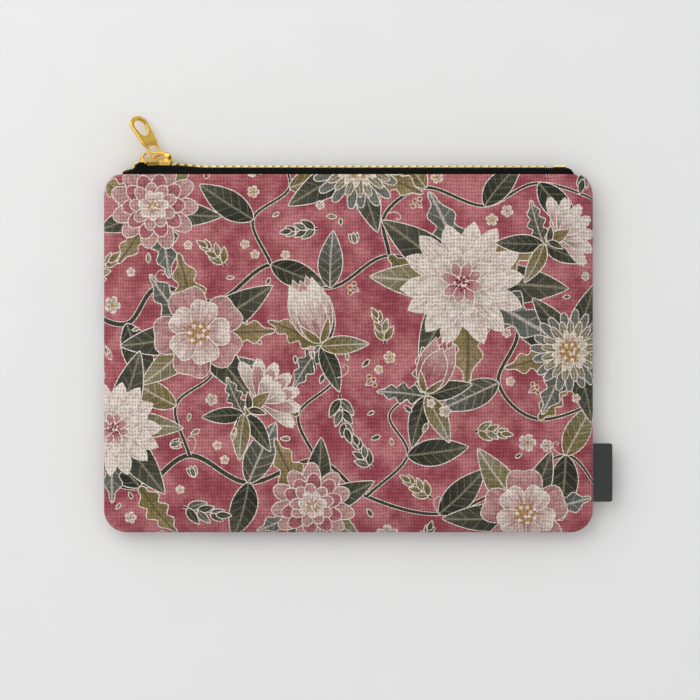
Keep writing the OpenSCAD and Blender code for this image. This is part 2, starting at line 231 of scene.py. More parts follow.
def baked(rough: Piece, name: str) -> Piece:
    """Puts a plain mesh in place of an object with modifiers.

    Args:
        rough: The object, which is removed.
        name: The new piece's name.

    Returns:
        The new piece.
    """
    mesh = bpy.data.meshes.new_from_object(rough.evaluated_get(bpy.context.evaluated_depsgraph_get()))
    mesh.name = name
    bpy.data.objects.remove(rough)
    return linked(name, mesh)


def coordinates(mesh: bpy.types.Mesh) -> Array:
    """The places of a mesh's vertices.

    Args:
        mesh: The mesh.

    Returns:
        One row of x, y and z for each vertex, in metres.
    """
    found = np.zeros(len(mesh.vertices) * 3, np.float32)
    mesh.vertices.foreach_get("co", found)
    return found.reshape(-1, 3)


def set_uv(piece: Piece, name: str, places: Array) -> None:
    """Writes a UV map.

    Args:
        piece: The mesh object.
        name: The map's name.
        places: One row of u and v for each vertex.
    """
    vertices = np.zeros(len(piece.data.loops), np.int32)
    piece.data.loops.foreach_get("vertex_index", vertices)
    layer = piece.data.uv_layers.new(name=name)
    layer.data.foreach_set("uv", np.asarray(places, np.float32)[vertices].ravel())


@dataclass(frozen=True)
class PouchForm:
    """The shape of the sewn pouch, with the sizes of its CAD solids."""

    width: float = 216.0
    height: float = 158.0
    seam_height: float = 7.4
    bottom_radius: float = 10.0
    corner_width: float = 6.5
    corner_height: float = 10.0
    corner_allow: float = 0.8
    seam_gap: float = 0.1
    front_rise: float = 8.5
    back_drop: float = 7.3
    table_flat: float = 1.3
    mouth_rise: float = 6.05
    mouth_power: float = 60.0
    mouth_reach: float = 8.0
    fill_power: float = 4.5
    roll_power: float = 0.6

    @property
    def bottom_y(self) -> float:
        """Place of the bottom seam."""
        return -self.height / 2

    @property
    def mouth_y(self) -> float:
        """Place of the canvas edge beside the zip."""
        return self.height / 2

    def half_width(self, y: Array, inset: float = 0.0, setback: float = 0.0) -> Array:
        """Half the plan's width at height y.

        Args:
            y: Places between the bottom seam and the mouth.
            inset: How far the sheet is set in from the seams.
            setback: How far it is set back from the mouth.

        Returns:
            The half widths.
        """
        wide = self.width / 2 - inset
        radius = max(1.0, self.bottom_radius - inset)
        corner = max(1.0, self.corner_width - max(0.0, inset - self.corner_allow))
        below = self.bottom_y + inset + radius - y
        above = (y - self.mouth_y + setback + self.corner_height) / self.corner_height
        low = wide - radius + np.sqrt(np.maximum(0, radius**2 - below**2))
        high = wide - corner + corner * np.sqrt(np.maximum(0, 1 - above**2))
        return np.where(below > 0, low, np.where(above > 0, high, wide))

    def roll(self, t: Array) -> Array:
        """Fullness across one direction: 1 in the middle and 0 at the seam."""
        return np.maximum(0, 1 - np.minimum(1, np.abs(t)) ** self.fill_power) ** self.roll_power

    def bulge(self, m: Array, s: Array, side: Side) -> Array:
        """How far the canvas stands from the seam plane.

        Args:
            m: Places across the pouch, from -1 to 1.
            s: Places up the pouch, from 0 at the bottom seam to 1 at the mouth.
            side: The half of the pouch.

        Returns:
            The distances.
        """
        front = side is Side.FRONT
        middle = self.front_rise if front else self.back_drop * self.table_flat
        most = self.front_rise if front else self.back_drop
        mouth = self.mouth_rise * (1 - np.minimum(1, np.abs(m)) ** self.mouth_power) * s**self.mouth_reach
        return np.minimum(most, mouth + (middle - mouth) * self.roll(m) * self.roll(2 * s - 1))


@dataclass(frozen=True)
class Layer:
    """How one face of a sheet is set in from the canvas's outer face."""

    inset: float = 0.0
    setback: float = 0.0
    depth: float = 0.0


@dataclass
class ClothRelief:
    """Small swells of the filled cloth, as offsets on an even grid for each side."""

    grids: dict[Side, Array] = field(default_factory=dict)

    def offset(self, m: Array, s: Array, side: Side) -> Array:
        """Looks up how far the cloth stands out at plan places.

        Args:
            m: Places across the pouch, from -1 to 1.
            s: Places up the pouch, from 0 to 1.
            side: The half of the pouch.

        Returns:
            Offsets away from the seam plane.
        """
        grid = self.grids.get(side)
        if grid is None:
            return np.zeros(np.broadcast(m, s).shape)
        rows, columns = grid.shape[0] - 1, grid.shape[1] - 1
        i, j = (np.clip(m, -1, 1) + 1) / 2 * columns, np.clip(s, 0, 1) * rows
        i0, j0 = np.minimum(i.astype(int), columns - 1), np.minimum(j.astype(int), rows - 1)
        fi, fj = i - i0, j - j0
        low = grid[j0, i0] * (1 - fi) + grid[j0, i0 + 1] * fi
        high = grid[j0 + 1, i0] * (1 - fi) + grid[j0 + 1, i0 + 1] * fi
        return low * (1 - fj) + high * fj


@dataclass
class PouchSurface:
    """Points on the filled pouch: its form with the cloth's swells added."""

    form: PouchForm = field(default_factory=PouchForm)
    relief: ClothRelief = field(default_factory=ClothRelief)

    def points(self, m: Array, s: Array, side: Side, layer: Layer = Layer()) -> Array:
        """Lifts plan places onto one face of a sheet.

        Args:
            m: Places across the pouch, from -1 to 1.
            s: Places up the pouch, from 0 to 1.
            side: The half of the pouch.
            layer: How the face is set in.

        Returns:
            One row of x, y and z for each place.
        """
        form = self.form
        y = form.bottom_y + layer.inset + (form.height - layer.inset - layer.setback) * s
        h = form.bulge(m, s, side) + self.relief.offset(m, s, side)
        if layer.depth > 0:
            h = h - layer.depth * np.clip(h / (2 * layer.depth), 0, 1)
        x = m * form.half_width(y, layer.inset, layer.setback)
        z = form.seam_height + side.value * (form.seam_gap + h)
        return np.stack(np.broadcast_arrays(x, y, z), axis=-1)

    def normals(self, m: Array, s: Array, side: Side) -> Array:
        """Outward directions of the canvas at plan places.

        Args:
            m: Places across the pouch, from -1 to 1.
            s: Places up the pouch, from 0 to 1.
            side: The half of the pouch.

        Returns:
            One unit row for each place.
        """
        step = 0.004
        left, right = np.maximum(m - step, -1), np.minimum(m + step, 1)
        down, up = np.maximum(s - step, 0), np.minimum(s + step, 1)
        along = self.points(right, s, side) - self.points(left, s, side)
        upward = self.points(m, up, side) - self.points(m, down, side)
        found = np.cross(along, upward) * side.value
        return found / np.maximum(np.linalg.norm(found, axis=-1, keepdims=True), TINY)


class NodeNet:
    """A node tree, with short ways to add and join its nodes."""

    def __init__(self, tree: bpy.types.NodeTree) -> None:
        """Takes the tree that is worked on."""
        self.tree = tree

    def put(self, socket: Socket, value: object) -> None:
        """Links an input to a socket, or sets its value.

        Args:
            socket: The input.
            value: The socket or the value; a colour may leave out its alpha.
        """
        if isinstance(value, Socket):
            self.tree.links.new(value, socket)
        else:
            socket.default_value = (*value[:3], 1.0) if socket.type == "RGBA" else value

    def node(self, kind: str, inputs: dict, output: int | str = 0, **settings: object) -> Socket:
        """Adds a node.

        Args:
            kind: Blender's name of the node's class.
            inputs: Sockets or values for its inputs, by name or number.
            output: Name or number of the output that is wanted.
            settings: Properties of the node.

        Returns:
            The output's socket.
        """
        node = self.tree.nodes.new(kind)
        for name, value in settings.items():
            setattr(node, name, value)
        for key, value in inputs.items():
            self.put(node.inputs[key], value)
        return node.outputs[output]


class NodeSheet(NodeNet):
    """A material's node tree round one Principled shader."""

    def __init__(self, name: str) -> None:
        """Starts a material.

        Args:
            name: The material's name.
        """
        self.material = bpy.data.materials.new(name)
        self.material.use_nodes = True
        super().__init__(self.material.node_tree)
        self.tree.nodes.clear()
        self.shader = self.tree.nodes.new("ShaderNodeBsdfPrincipled")
        output = self.tree.nodes.new("ShaderNodeOutputMaterial")
        self.put(output.inputs["Surface"], self.shader.outputs["BSDF"])

    def shade(self, **values: object) -> None:
        """Sets sockets of the shader, named with underscores for spaces."""
        for name, value in values.items():
            self.put(self.shader.inputs[name.replace("_", " ")], value)

    def math(self, operation: str, *values: object) -> Socket:
        """The result of a Math node on sockets or numbers."""
        return self.node("ShaderNodeMath", dict(enumerate(values)), operation=operation)

    def times(self, first: object, second: object) -> Socket:
        """The product of two sockets or numbers."""
        return self.math("MULTIPLY", first, second)

    def minus(self, first: object, second: object) -> Socket:
        """The difference of two sockets or numbers."""
        return self.math("SUBTRACT", first, second)

    def scaled(self, value: object, factor: object, offset: object) -> Socket:
        """A socket times a factor, plus an offset."""
        return self.math("MULTIPLY_ADD", value, factor, offset)

    def wave(self, kind: str, along: Socket, pitch: float) -> Socket:
        """A SINE or COSINE wave along a length, with its pitch in millimetres."""
        return self.math(kind, self.times(along, 2 * math.pi / (pitch * MM)))

    def fade(self, value: object, low: float, high: float) -> Socket:
        """A smooth step from 0 where value is low to 1 where it is high."""
        inputs = {"Value": value, "From Min": low, "From Max": high}
        return self.node("ShaderNodeMapRange", inputs, "Result", interpolation_type="SMOOTHSTEP")

    def mix(self, factor: object, first: object, second: object, blend: str = "MIX") -> Socket:
        """A mix of two colours or of their sockets."""
        inputs = {0: factor, 6: first, 7: second}
        return self.node("ShaderNodeMix", inputs, 2, data_type="RGBA", blend_type=blend)

    def parts(self, vector: Socket) -> tuple[Socket, Socket, Socket]:
        """The three numbers of a vector."""
        return tuple(self.node("ShaderNodeSeparateXYZ", {0: vector}).node.outputs)

    def vector(self, x: object, y: object, z: object = 0.0) -> Socket:
        """A vector from three numbers."""
        return self.node("ShaderNodeCombineXYZ", {0: x, 1: y, 2: z})

    def darkened(self, factor: object, colour: Socket, tint: Colour) -> Socket:
        """A colour that is multiplied by a tint as far as the factor says."""
        return self.mix(factor, colour, self.mix(1.0, colour, tint, "MULTIPLY"))

    def brushed(self, colour: Socket, level: Socket) -> Socket:
        """A colour whose three channels are multiplied by a level."""
        return self.mix(1.0, colour, self.vector(level, level, level), "MULTIPLY")

    def attribute(self, name: str, output: str = "Color") -> Socket:
        """A mesh attribute's socket."""
        return self.node("ShaderNodeAttribute", {}, output, attribute_name=name)

    def uv(self, name: str) -> Socket:
        """A UV map's socket."""
        return self.node("ShaderNodeUVMap", {}, "UV", uv_map=name)

    def place(self) -> Socket:
        """The point on the piece in the shared frame."""
        return self.node("ShaderNodeTexCoord", {}, "Object")

    def noise(self, vector: Socket, scale: float, detail: float = 3.0, roughness: float = 0.55) -> Socket:
        """The value of a noise, about 0.5 on average."""
        inputs = {"Vector": vector, "Scale": scale, "Detail": detail, "Roughness": roughness}
        return self.node("ShaderNodeTexNoise", inputs)

    def bump(self, height: Socket, distance: float, strength: float = 1.0) -> Socket:
        """The normal of a relief, where a height of 1 stands out by a distance in metres."""
        inputs = {"Height": height, "Distance": distance, "Strength": strength}
        return self.node("ShaderNodeBump", inputs, "Normal")


@dataclass(frozen=True)
class PrintedCanvas:
    """Coarse plain-weave canvas with a print: inks come from the mesh, and the weave from its flat UV map."""

    name: str = "printed_canvas"
    thread_x: float = 1.35
    thread_y: float = 1.62
    drift_x: float = 0.0016
    drift_y: float = 0.0018
    drift_scale: float = 130.0
    uneven: float = 0.95
    uneven_scale: float = 900.0
    pit_from: float = 0.2
    pit_to: float = 0.7
    pit_shade: float = 0.6
    pit_shade_tint: Colour = (0.28, 0.22, 0.22)
    fibre_across: float = 900.0
    fibre_along: float = 3600.0
    relief: float = 0.00028
    grain_scale: float = 2600.0
    wash_scale: float = 420.0
    cloud_scale: float = 62.0
    side_veins: float = 6.5
    vein_lean: float = 1.15
    rim_tint: Colour = (0.56, 0.5, 0.48)
    shade_tint: Colour = (0.42, 0.42, 0.42)

    def make(self) -> Finish:
        """Builds the material.

        Returns:
            The printed canvas.
        """
        sheet = NodeSheet(self.name)
        cloth = sheet.uv("Cloth")
        colour = self._inks(sheet, cloth)
        pit, height = self._weave(sheet, cloth)
        grain = sheet.noise(cloth, self.grain_scale, 2.0)
        # Painted shade: the weave's pits are darkened towards a dark red-brown, standing in for shade in the gaps
        # between threads.
        shaded = sheet.darkened(sheet.times(pit, self.pit_shade), colour, self.pit_shade_tint)
        sheet.shade(
            Base_Color=sheet.brushed(shaded, sheet.scaled(grain, 0.34, 0.83)),
            Roughness=sheet.scaled(grain, 0.2, 0.72),
            Specular_IOR_Level=0.2,
            Sheen_Weight=0.12,
            Sheen_Roughness=0.5,
            Normal=sheet.bump(height, self.relief),
        )
        return sheet.material

    def _weave(self, sheet: NodeSheet, cloth: Socket) -> tuple[Socket, Socket]:
        """The weave's pits and its height.

        Args:
            sheet: The node tree.
            cloth: The flat UV map's socket.

        Returns:
            Pits from 0 to 1, and heights from 0 to 1.
        """
        drift = sheet.noise(cloth, self.drift_scale, 2.0)
        x, y, _ = sheet.parts(cloth)
        waves = [
            sheet.wave("COSINE", sheet.scaled(drift, shift, along), pitch)
            for along, pitch, shift in ((x, self.thread_x, self.drift_x), (y, self.thread_y, self.drift_y))
        ]
        crossing = sheet.times(sheet.math("ADD", *waves), 0.5)
        uneven = sheet.minus(sheet.noise(cloth, self.uneven_scale, 2.0), 0.5)
        pit = sheet.fade(sheet.scaled(uneven, self.uneven, crossing), self.pit_from, self.pit_to)
        fibres = sheet.vector(sheet.times(x, self.fibre_across), sheet.times(y, self.fibre_along))
        hollow = sheet.minus(0.8, sheet.times(crossing, 0.5))
        return pit, sheet.scaled(sheet.noise(fibres, 1.0), 0.35, hollow)

    def _inks(self, sheet: NodeSheet, cloth: Socket) -> Socket:
        """The printed colour: each shape's inks run from its base to its tip, with veins and brush marks.

        Args:
            sheet: The node tree.
            cloth: The flat UV map's socket.

        Returns:
            The colour's socket.
        """
        u, v, turn = sheet.parts(sheet.attribute("ink_at", "Vector"))
        petal, leaf, ground = sheet.parts(sheet.attribute("ink_mix", "Vector"))
        wash = sheet.noise(cloth, self.wash_scale, 4.0, 0.6)
        cloud = sheet.fade(sheet.noise(cloth, self.cloud_scale, 4.0, 0.62), 0.36, 0.66)
        run = sheet.fade(sheet.scaled(sheet.minus(wash, 0.5), 0.7, u), 0.2, 1.05)
        share = sheet.scaled(ground, sheet.minus(cloud, run), run)
        colour = sheet.mix(share, sheet.attribute("ink_base"), sheet.attribute("ink_tip"))

        across = sheet.math("ABSOLUTE", v)
        fan = sheet.math("DIVIDE", v, sheet.math("ADD", u, 0.3))
        strokes = sheet.vector(sheet.times(fan, 5.0), sheet.times(u, 0.9), sheet.times(turn, 37.0))
        lines = sheet.fade(sheet.noise(strokes, 1.6, 3.0, 0.6), 0.5, 0.62)
        streak = sheet.times(lines, sheet.minus(1.0, sheet.times(u, 0.72)))
        rib = sheet.fade(across, 0.11, 0.03)
        slant = sheet.minus(sheet.times(u, self.side_veins), sheet.times(across, self.vein_lean))
        off = sheet.math("ABSOLUTE", sheet.minus(sheet.math("FRACT", slant), 0.5))
        veins = sheet.math("MAXIMUM", rib, sheet.times(sheet.fade(off, 0.1, 0.02), 0.55))
        marks = sheet.math("ADD", sheet.times(streak, petal), sheet.times(veins, leaf))
        colour = sheet.mix(sheet.math("MINIMUM", marks, 1.0), colour, sheet.attribute("ink_vein"))

        rim = sheet.times(sheet.fade(across, 0.35, 1.0), sheet.times(petal, 0.6))
        half = sheet.times(sheet.fade(v, -0.05, 0.3), sheet.times(leaf, 0.42))
        colour = sheet.darkened(rim, colour, self.rim_tint)
        colour = sheet.darkened(half, colour, self.shade_tint)
        return sheet.brushed(colour, sheet.scaled(wash, 0.8, 0.6))


@dataclass(frozen=True)
class WovenCloth:
    """A plain woven cloth in one colour, with threads that follow its flat UV map."""

    name: str
    colour: Colour
    thread: Colour
    pitch_x: float
    pitch_y: float
    relief: float
    roughness: float = 0.8
    sheen: float = 0.1
    specular: float = 0.25
    wear_scale: float = 600.0

    def make(self) -> Finish:
        """Builds the material.

        Returns:
            The cloth.
        """
        sheet = NodeSheet(self.name)
        cloth = sheet.uv("Cloth")
        x, y, _ = sheet.parts(cloth)
        crossing = sheet.times(sheet.wave("SINE", x, self.pitch_x), sheet.wave("SINE", y, self.pitch_y))
        weave = sheet.scaled(crossing, 0.5, 0.5)
        wear = sheet.noise(cloth, self.wear_scale, 4.0, 0.6)
        share = sheet.times(weave, sheet.scaled(wear, 0.9, 0.25))
        sheet.shade(
            Base_Color=sheet.mix(share, self.colour, self.thread),
            Roughness=sheet.scaled(wear, 0.25, self.roughness - 0.12),
            Specular_IOR_Level=self.specular,
            Sheen_Weight=self.sheen,
            Normal=sheet.bump(weave, self.relief),
        )
        return sheet.material


@dataclass(frozen=True)
class GoldMetal:
    """Bright plated metal with fine scratches, an uneven polish and, between rows of teeth, painted shade in the
    hollows.
    """

    name: str
    colour: Colour
    deep: Colour
    roughness: float
    grain: float = 900.0
    painted_shade: float = 0.0
    plane: float = 7.4
    shade_from: float = 1.9
    shade_to: float = 1.0
    shade_colour: Colour = srgb(64, 52, 28)
    scratch: tuple[float, float, float] = (1500.0, 9000.0, 5200.0)
    scratch_depth: float = 0.00001

    def make(self) -> Finish:
        """Builds the material.

        Returns:
            The metal.
        """
        sheet = NodeSheet(self.name)
        place = sheet.place()
        parts = sheet.parts(place)
        patches = sheet.noise(place, self.grain, 4.0, 0.6)
        scratches = sheet.noise(sheet.vector(*map(sheet.times, parts, self.scratch)), 1.0, 2.0)
        colour = sheet.mix(sheet.fade(patches, 0.3, 0.75), self.colour, self.deep)
        # Painted shade: near the middle plane between the rows the metal is darkened towards a dark brown, as if shaded
        # by the teeth around it.
        if self.painted_shade > 0:
            off = sheet.math("ABSOLUTE", sheet.minus(parts[2], self.plane * MM))
            hollow = sheet.fade(off, self.shade_from * MM, self.shade_to * MM)
            colour = sheet.mix(sheet.times(hollow, self.painted_shade), colour, self.shade_colour)
        sheet.shade(
            Base_Color=colour,
            Metallic=1.0,
            Roughness=sheet.scaled(scratches, 0.16, self.roughness),
            Normal=sheet.bump(sheet.math("ADD", patches, scratches), self.scratch_depth, 0.5),
        )
        return sheet.material


class Ink(Enum):
    """Inks of the print."""

    ROSE_DEEP = srgb(156, 70, 81)
    ROSE = srgb(200, 127, 130)
    CREAM = srgb(242, 230, 218)
    IVORY = srgb(222, 208, 194)
    BLUSH = srgb(204, 166, 158)
    PINK = srgb(182, 106, 116)
    WINE = srgb(112, 46, 58)
    TAUPE = srgb(168, 148, 134)
    OCHRE = srgb(186, 142, 84)
    TAN = srgb(172, 148, 112)
    OLIVE = srgb(128, 114, 66)
    SAGE = srgb(152, 144, 118)
    SLATE = srgb(114, 118, 112)
    PINE = srgb(88, 88, 74)
    NIGHT = srgb(54, 55, 46)


@dataclass(frozen=True)
class Wash:
    """How a shape is inked: colours at its base and tip and in its veins, and how strongly each mark shows."""

    base: Ink
    tip: Ink
    vein: Ink
    petal: float = 0.0
    leaf: float = 0.0
    ground: float = 0.0


class Tint(Enum):
    """Washes of the print's flowers and leaves."""

    GROUND = Wash(Ink.ROSE_DEEP, Ink.ROSE, Ink.ROSE, ground=1.0)
    EDGE = Wash(Ink.CREAM, Ink.CREAM, Ink.CREAM)
    CREAM_PETAL = Wash(Ink.BLUSH, Ink.CREAM, Ink.WINE, petal=0.75)
    PALE_PETAL = Wash(Ink.TAUPE, Ink.CREAM, Ink.TAUPE, petal=0.8)
    PINK_PETAL = Wash(Ink.PINK, Ink.BLUSH, Ink.WINE, petal=0.8)
    WINE_PETAL = Wash(Ink.WINE, Ink.PINK, Ink.CREAM, petal=0.35)
    SLATE_PETAL = Wash(Ink.PINE, Ink.SLATE, Ink.CREAM, petal=0.4)
    OCHRE_PETAL = Wash(Ink.OCHRE, Ink.CREAM, Ink.OLIVE, petal=0.6)
    PINE_LEAF = Wash(Ink.NIGHT, Ink.PINE, Ink.SAGE, leaf=0.8)
    SLATE_LEAF = Wash(Ink.PINE, Ink.SLATE, Ink.IVORY, leaf=0.7)
    OLIVE_LEAF = Wash(Ink.OLIVE, Ink.TAN, Ink.NIGHT, leaf=0.6)
    SAGE_LEAF = Wash(Ink.OLIVE, Ink.SAGE, Ink.IVORY, leaf=0.7)
    STEM = Wash(Ink.NIGHT, Ink.PINE, Ink.OLIVE, petal=0.3)
    TENDRIL = Wash(Ink.IVORY, Ink.CREAM, Ink.SAGE)
    POLLEN = Wash(Ink.OCHRE, Ink.OCHRE, Ink.WINE, petal=0.3)
    SEED = Wash(Ink.WINE, Ink.WINE, Ink.NIGHT, petal=0.3)


@dataclass
class InkShape:
    """One printed field: its outline on the flat cloth, and the frame that its brush marks follow."""

    outline: Array
    origin: Array
    angle: float
    length: float
    half: float
    bend: float
    tint: Tint
    turn: float

    def local(self, points: Array) -> Array:
        """Places along and across the shape.

        Args:
            points: Places on the flat cloth.

        Returns:
            One row for each: along from 0 to 1, across from -1 to 1, and the shape's own number.
        """
        moved = points - self.origin
        c, s = math.cos(self.angle), math.sin(self.angle)
        along = (moved[:, 0] * c + moved[:, 1] * s) / self.length
        across = moved[:, 1] * c - moved[:, 0] * s - self.bend * self.length * along**2
        return np.stack([along, across / self.half, np.full(len(points), self.turn)], axis=1)


@dataclass(frozen=True)
class Ring:
    """One ring of petals of a rosette, with reach and width as shares of the flower's radius."""

    count: int
    reach: float
    width: float
    tint: Tint
    taper: float = 0.5
    notch: float = 0.0
    point: float = 0.0
    phase: float = 0.0


class PrintDesign:
    """A floral print of rosettes, tulips, pinks, leaf sprigs and vines, painted from back to front."""

    LINE = 0.43
    NOTCH_SPAN, POINT_SPAN = 0.4, 0.22
    FRILLS = 13
    SEED_TURN = 2.39996
    STEM_STEP = 2.2
    SIZES = (11.0, 8.5, 6.5, 5.0, 3.6, 2.6)

    def __init__(self, seed: int, half_width: float, half_height: float) -> None:
        """Starts an empty print.

        Args:
            seed: Fixes the small variations between petals.
            half_width: Half the flat cloth's width.
            half_height: Half the flat cloth's height.
        """
        self.random = np.random.default_rng(seed)
        self.half = np.array([half_width, half_height])
        self.shapes: list[InkShape] = []
        self.taken: list[tuple[float, float, float]] = []

    def vary(self, spread: float) -> float:
        """A small random number between -spread and spread."""
        return float(self.random.uniform(-spread, spread))

    def field(
        self, outline: Array, at: Spot, angle: float, length: float, half: float, tint: Tint,
        bend: float = 0.0, edge: float = LINE,
    ) -> None:
        """Adds one shape, with a pale line round it.

        Args:
            outline: Its outline in its own frame, along +X from its base.
            at: Place of its base.
            angle: Direction it points in.
            length: Its length.
            half: Half its width.
            tint: Its wash.
            bend: Sideways curve as a share of its length.
            edge: Width of the pale line, or 0 for none.
        """
        sideways = bend * length * (outline[:, 0] / length) ** 2
        bent = outline + np.stack([np.zeros(len(outline)), sideways], axis=1)
        c, s = math.cos(angle), math.sin(angle)
        placed = bent @ np.array([[c, s], [-s, c]]) + at
        turn = float(self.random.uniform(0, 1))
        frame_of = dict(origin=np.asarray(at, float), angle=angle, length=length, half=half, bend=bend, turn=turn)
        if edge > 0:
            self.shapes.append(InkShape(self._grown(placed, edge), tint=Tint.EDGE, **frame_of))
        self.shapes.append(InkShape(placed, tint=tint, **frame_of))

    @staticmethod
    def _grown(outline: Array, margin: float) -> Array:
        """Moves an outline outwards.

        Args:
            outline: Its corners.
            margin: How far each one moves.

        Returns:
            The larger outline.
        """
        after = np.roll(outline, -1, axis=0)
        ahead = after - np.roll(outline, 1, axis=0)
        out = np.stack([ahead[:, 1], -ahead[:, 0]], axis=1)
        out *= np.sign(np.sum(outline[:, 0] * after[:, 1] - outline[:, 1] * after[:, 0]))
        return outline + margin * out / np.maximum(np.linalg.norm(out, axis=1, keepdims=True), TINY)

    def petal(
        self, at: Spot, angle: float, length: float, width: float, tint: Tint, taper: float = 0.5,
        notch: float = 0.0, point: float = 0.0, frill: float = 0.0, bend: float = 0.0, edge: float = LINE,
    ) -> None:
        """Adds a petal.

        Args:
            at: Place of its base.
            angle: Direction it points in.
            length: Its length.
            width: Its width.
            tint: Its wash.
            taper: How far its base draws in.
            notch: Depth of a notch in its tip.
            point: Reach of a point on its tip.
            frill: Depth of a frilled rim.
            bend: Sideways curve as a share of its length.
            edge: Width of its pale line.
        """
        count = 36 if frill > 0 else 22
        turn = np.linspace(0, 2 * math.pi, count, endpoint=False)
        rise = (1 - np.cos(turn)) / 2
        tip = np.abs(turn - math.pi)
        along = rise - notch * np.exp(-((tip / self.NOTCH_SPAN) ** 2)) + point * np.exp(-((tip / self.POINT_SPAN) ** 2))
        along = along + frill * rise**3 * np.cos(turn * self.FRILLS)
        across = width / 2 * np.sin(turn) * rise**taper
        outline = np.stack([along * length, across], axis=1)
        self.field(outline, at, angle, length, width / 2, tint, bend, edge)

    def leaf(
        self, at: Spot, angle: float, length: float, width: float, tint: Tint, bend: float = 0.0, lobes: int = 0,
    ) -> None:
        """Adds a leaf.

        Args:
            at: Place of its base.
            angle: Direction it points in.
            length: Its length.
            width: Its width.
            tint: Its wash.
            bend: Sideways curve as a share of its length.
            lobes: Number of lobes on each side, or 0 for a plain edge.
        """
        t = shares(14 + 5 * lobes)
        half = width / 2 * np.sin(math.pi * t**0.8) ** 0.85
        if lobes:
            half = half * (0.74 + 0.26 * np.cos(2 * math.pi * lobes * t))
        right = np.stack([t * length, -half], axis=1)
        left = np.stack([t * length, half], axis=1)[-2:0:-1]
        self.field(np.concatenate([right, left]), at, angle, length, width / 2, tint, bend)

    def stroke(self, path: Array, wide: float, thin: float, tint: Tint, edge: float = 0.3) -> None:
        """Adds a brush stroke along a path.

        Args:
            path: Points of the stroke.
            wide: Width at its start.
            thin: Width at its end.
            tint: Its wash.
            edge: Width of the pale line beside it.
        """
        ahead = np.gradient(path, axis=0)
        ahead /= np.maximum(np.linalg.norm(ahead, axis=1, keepdims=True), TINY)
        out = np.stack([-ahead[:, 1], ahead[:, 0]], axis=1)
        half = np.linspace(wide, thin, len(path))[:, None] / 2
        for grow, wash in ((edge, Tint.EDGE), (0.0, tint)):
            if grow == 0.0 and wash is Tint.EDGE:
                continue
            left, right = path + out * (half + grow), path - out * (half + grow)
            for k in range(0, len(path) - 1, 4):
                end = min(k + 5, len(path))
                outline = np.concatenate([right[k:end], left[k:end][::-1]])
                middle = path[k:end].mean(axis=0)
                span = path[end - 1] - path[k]
                angle = math.atan2(span[1], span[0])
                length = max(float(np.linalg.norm(span)), 0.1)
                self.shapes.append(
                    InkShape(outline, middle, angle, length, float(half[k, 0]) + 0.05, 0.0, wash, k / 7 % 1)
                )

    def vine(self, knots: list[Spot], wide: float, thin: float, tint: Tint = Tint.STEM) -> Array:
        """Adds a stem through knots.

        Args:
            knots: Places that it passes through.
            wide: Width at its start.
            thin: Width at its end.
            tint: Its wash.

        Returns:
            Points along the stem.
        """
        points = np.array(knots, float)
        spans = np.linalg.norm(np.diff(points, axis=0), axis=1)
        line = through(points, [max(4, int(span / self.STEM_STEP)) for span in spans])
        self.stroke(line, wide, thin, tint)
        self.taken += [(x, y, 1.6) for x, y in line[::2]]
        return line

    def tendril(self, at: Spot, angle: float, size: float, hand: int) -> None:
        """Adds a thin curl.

        Args:
            at: Where it leaves its stem.
            angle: Direction it starts in.
            size: Its reach.
            hand: 1 or -1 for the way it turns.
        """
        t = np.linspace(0, 1, 22)
        heading = angle + hand * 7.0 * t**1.8
        step = size / 12 * (1.15 - t)[:, None]
        path = at + np.cumsum(np.stack([np.cos(heading), np.sin(heading)], axis=1) * step, axis=0)
        self.stroke(path, 0.5, 0.35, Tint.TENDRIL, 0.0)

    def rosette(
        self, at: Spot, radius: float, rings: list[Ring], heart: float, heart_tint: Tint,
    ) -> None:
        """Adds a flower seen from above.

        Args:
            at: Its middle.
            radius: Its radius.
            rings: Its rings of petals, from the outermost.
            heart: Radius of its seed head as a share of the radius.
            heart_tint: Wash of the seed head's dots.
        """
        middle = np.array(at, float)
        start = self.vary(math.pi)
        for ring in rings:
            order = [*range(0, ring.count, 2), *range(1, ring.count, 2)]
            for k in order:
                angle = start + ring.phase + 2 * math.pi * k / ring.count + self.vary(0.05)
                self.petal(
                    middle, angle, radius * ring.reach * (1 + self.vary(0.05)), radius * ring.width, ring.tint,
                    ring.taper, ring.notch, ring.point, bend=self.vary(0.06),
                )
        count = int(26 * (heart / 0.2) ** 0.8)
        for k in range(count):
            reach = heart * radius * math.sqrt((k + 0.5) / count)
            spot = middle + reach * towards(k * self.SEED_TURN)
            self.dot(spot, heart * radius * 0.17, Tint.EDGE if k % 3 == 2 else heart_tint)
        self.claim(at, radius * 1.02)

    def foliage(self, at: Spot, radius: float, count: int, start: float) -> None:
        """Adds a spray of large leaves that shows round a flower.

        Args:
            at: The flower's middle.
            radius: The flower's radius.
            count: Number of leaves.
            start: Direction of the first leaf.
        """
        tints = (Tint.PINE_LEAF, Tint.OLIVE_LEAF, Tint.SLATE_LEAF, Tint.PINE_LEAF, Tint.SAGE_LEAF)
        for k in range(count):
            angle = start + 2 * math.pi * k / count + self.vary(0.25)
            length = radius * (1.66 + self.vary(0.2))
            tint = tints[k % len(tints)]
            lobes = 4 if tint in (Tint.OLIVE_LEAF, Tint.SLATE_LEAF) else 0
            self.leaf(at, angle, length, length * (0.44 if lobes else 0.37), tint, self.vary(0.2), lobes)
            self.claim(at + 0.8 * length * towards(angle), length * 0.17)

    def dot(self, at: Spot, radius: float, tint: Tint, edge: float = 0.0) -> None:
        """Adds a round spot.

        Args:
            at: Its middle.
            radius: Its radius.
            tint: Its wash.
            edge: Width of its pale line, or 0 for none.
        """
        turn = np.linspace(0, 2 * math.pi, 9, endpoint=False)
        outline = np.stack([radius + radius * np.cos(turn), radius * np.sin(turn)], axis=1)
        self.field(outline, np.asarray(at, float) - [radius, 0], 0.0, 2 * radius, radius, tint, 0.0, edge)

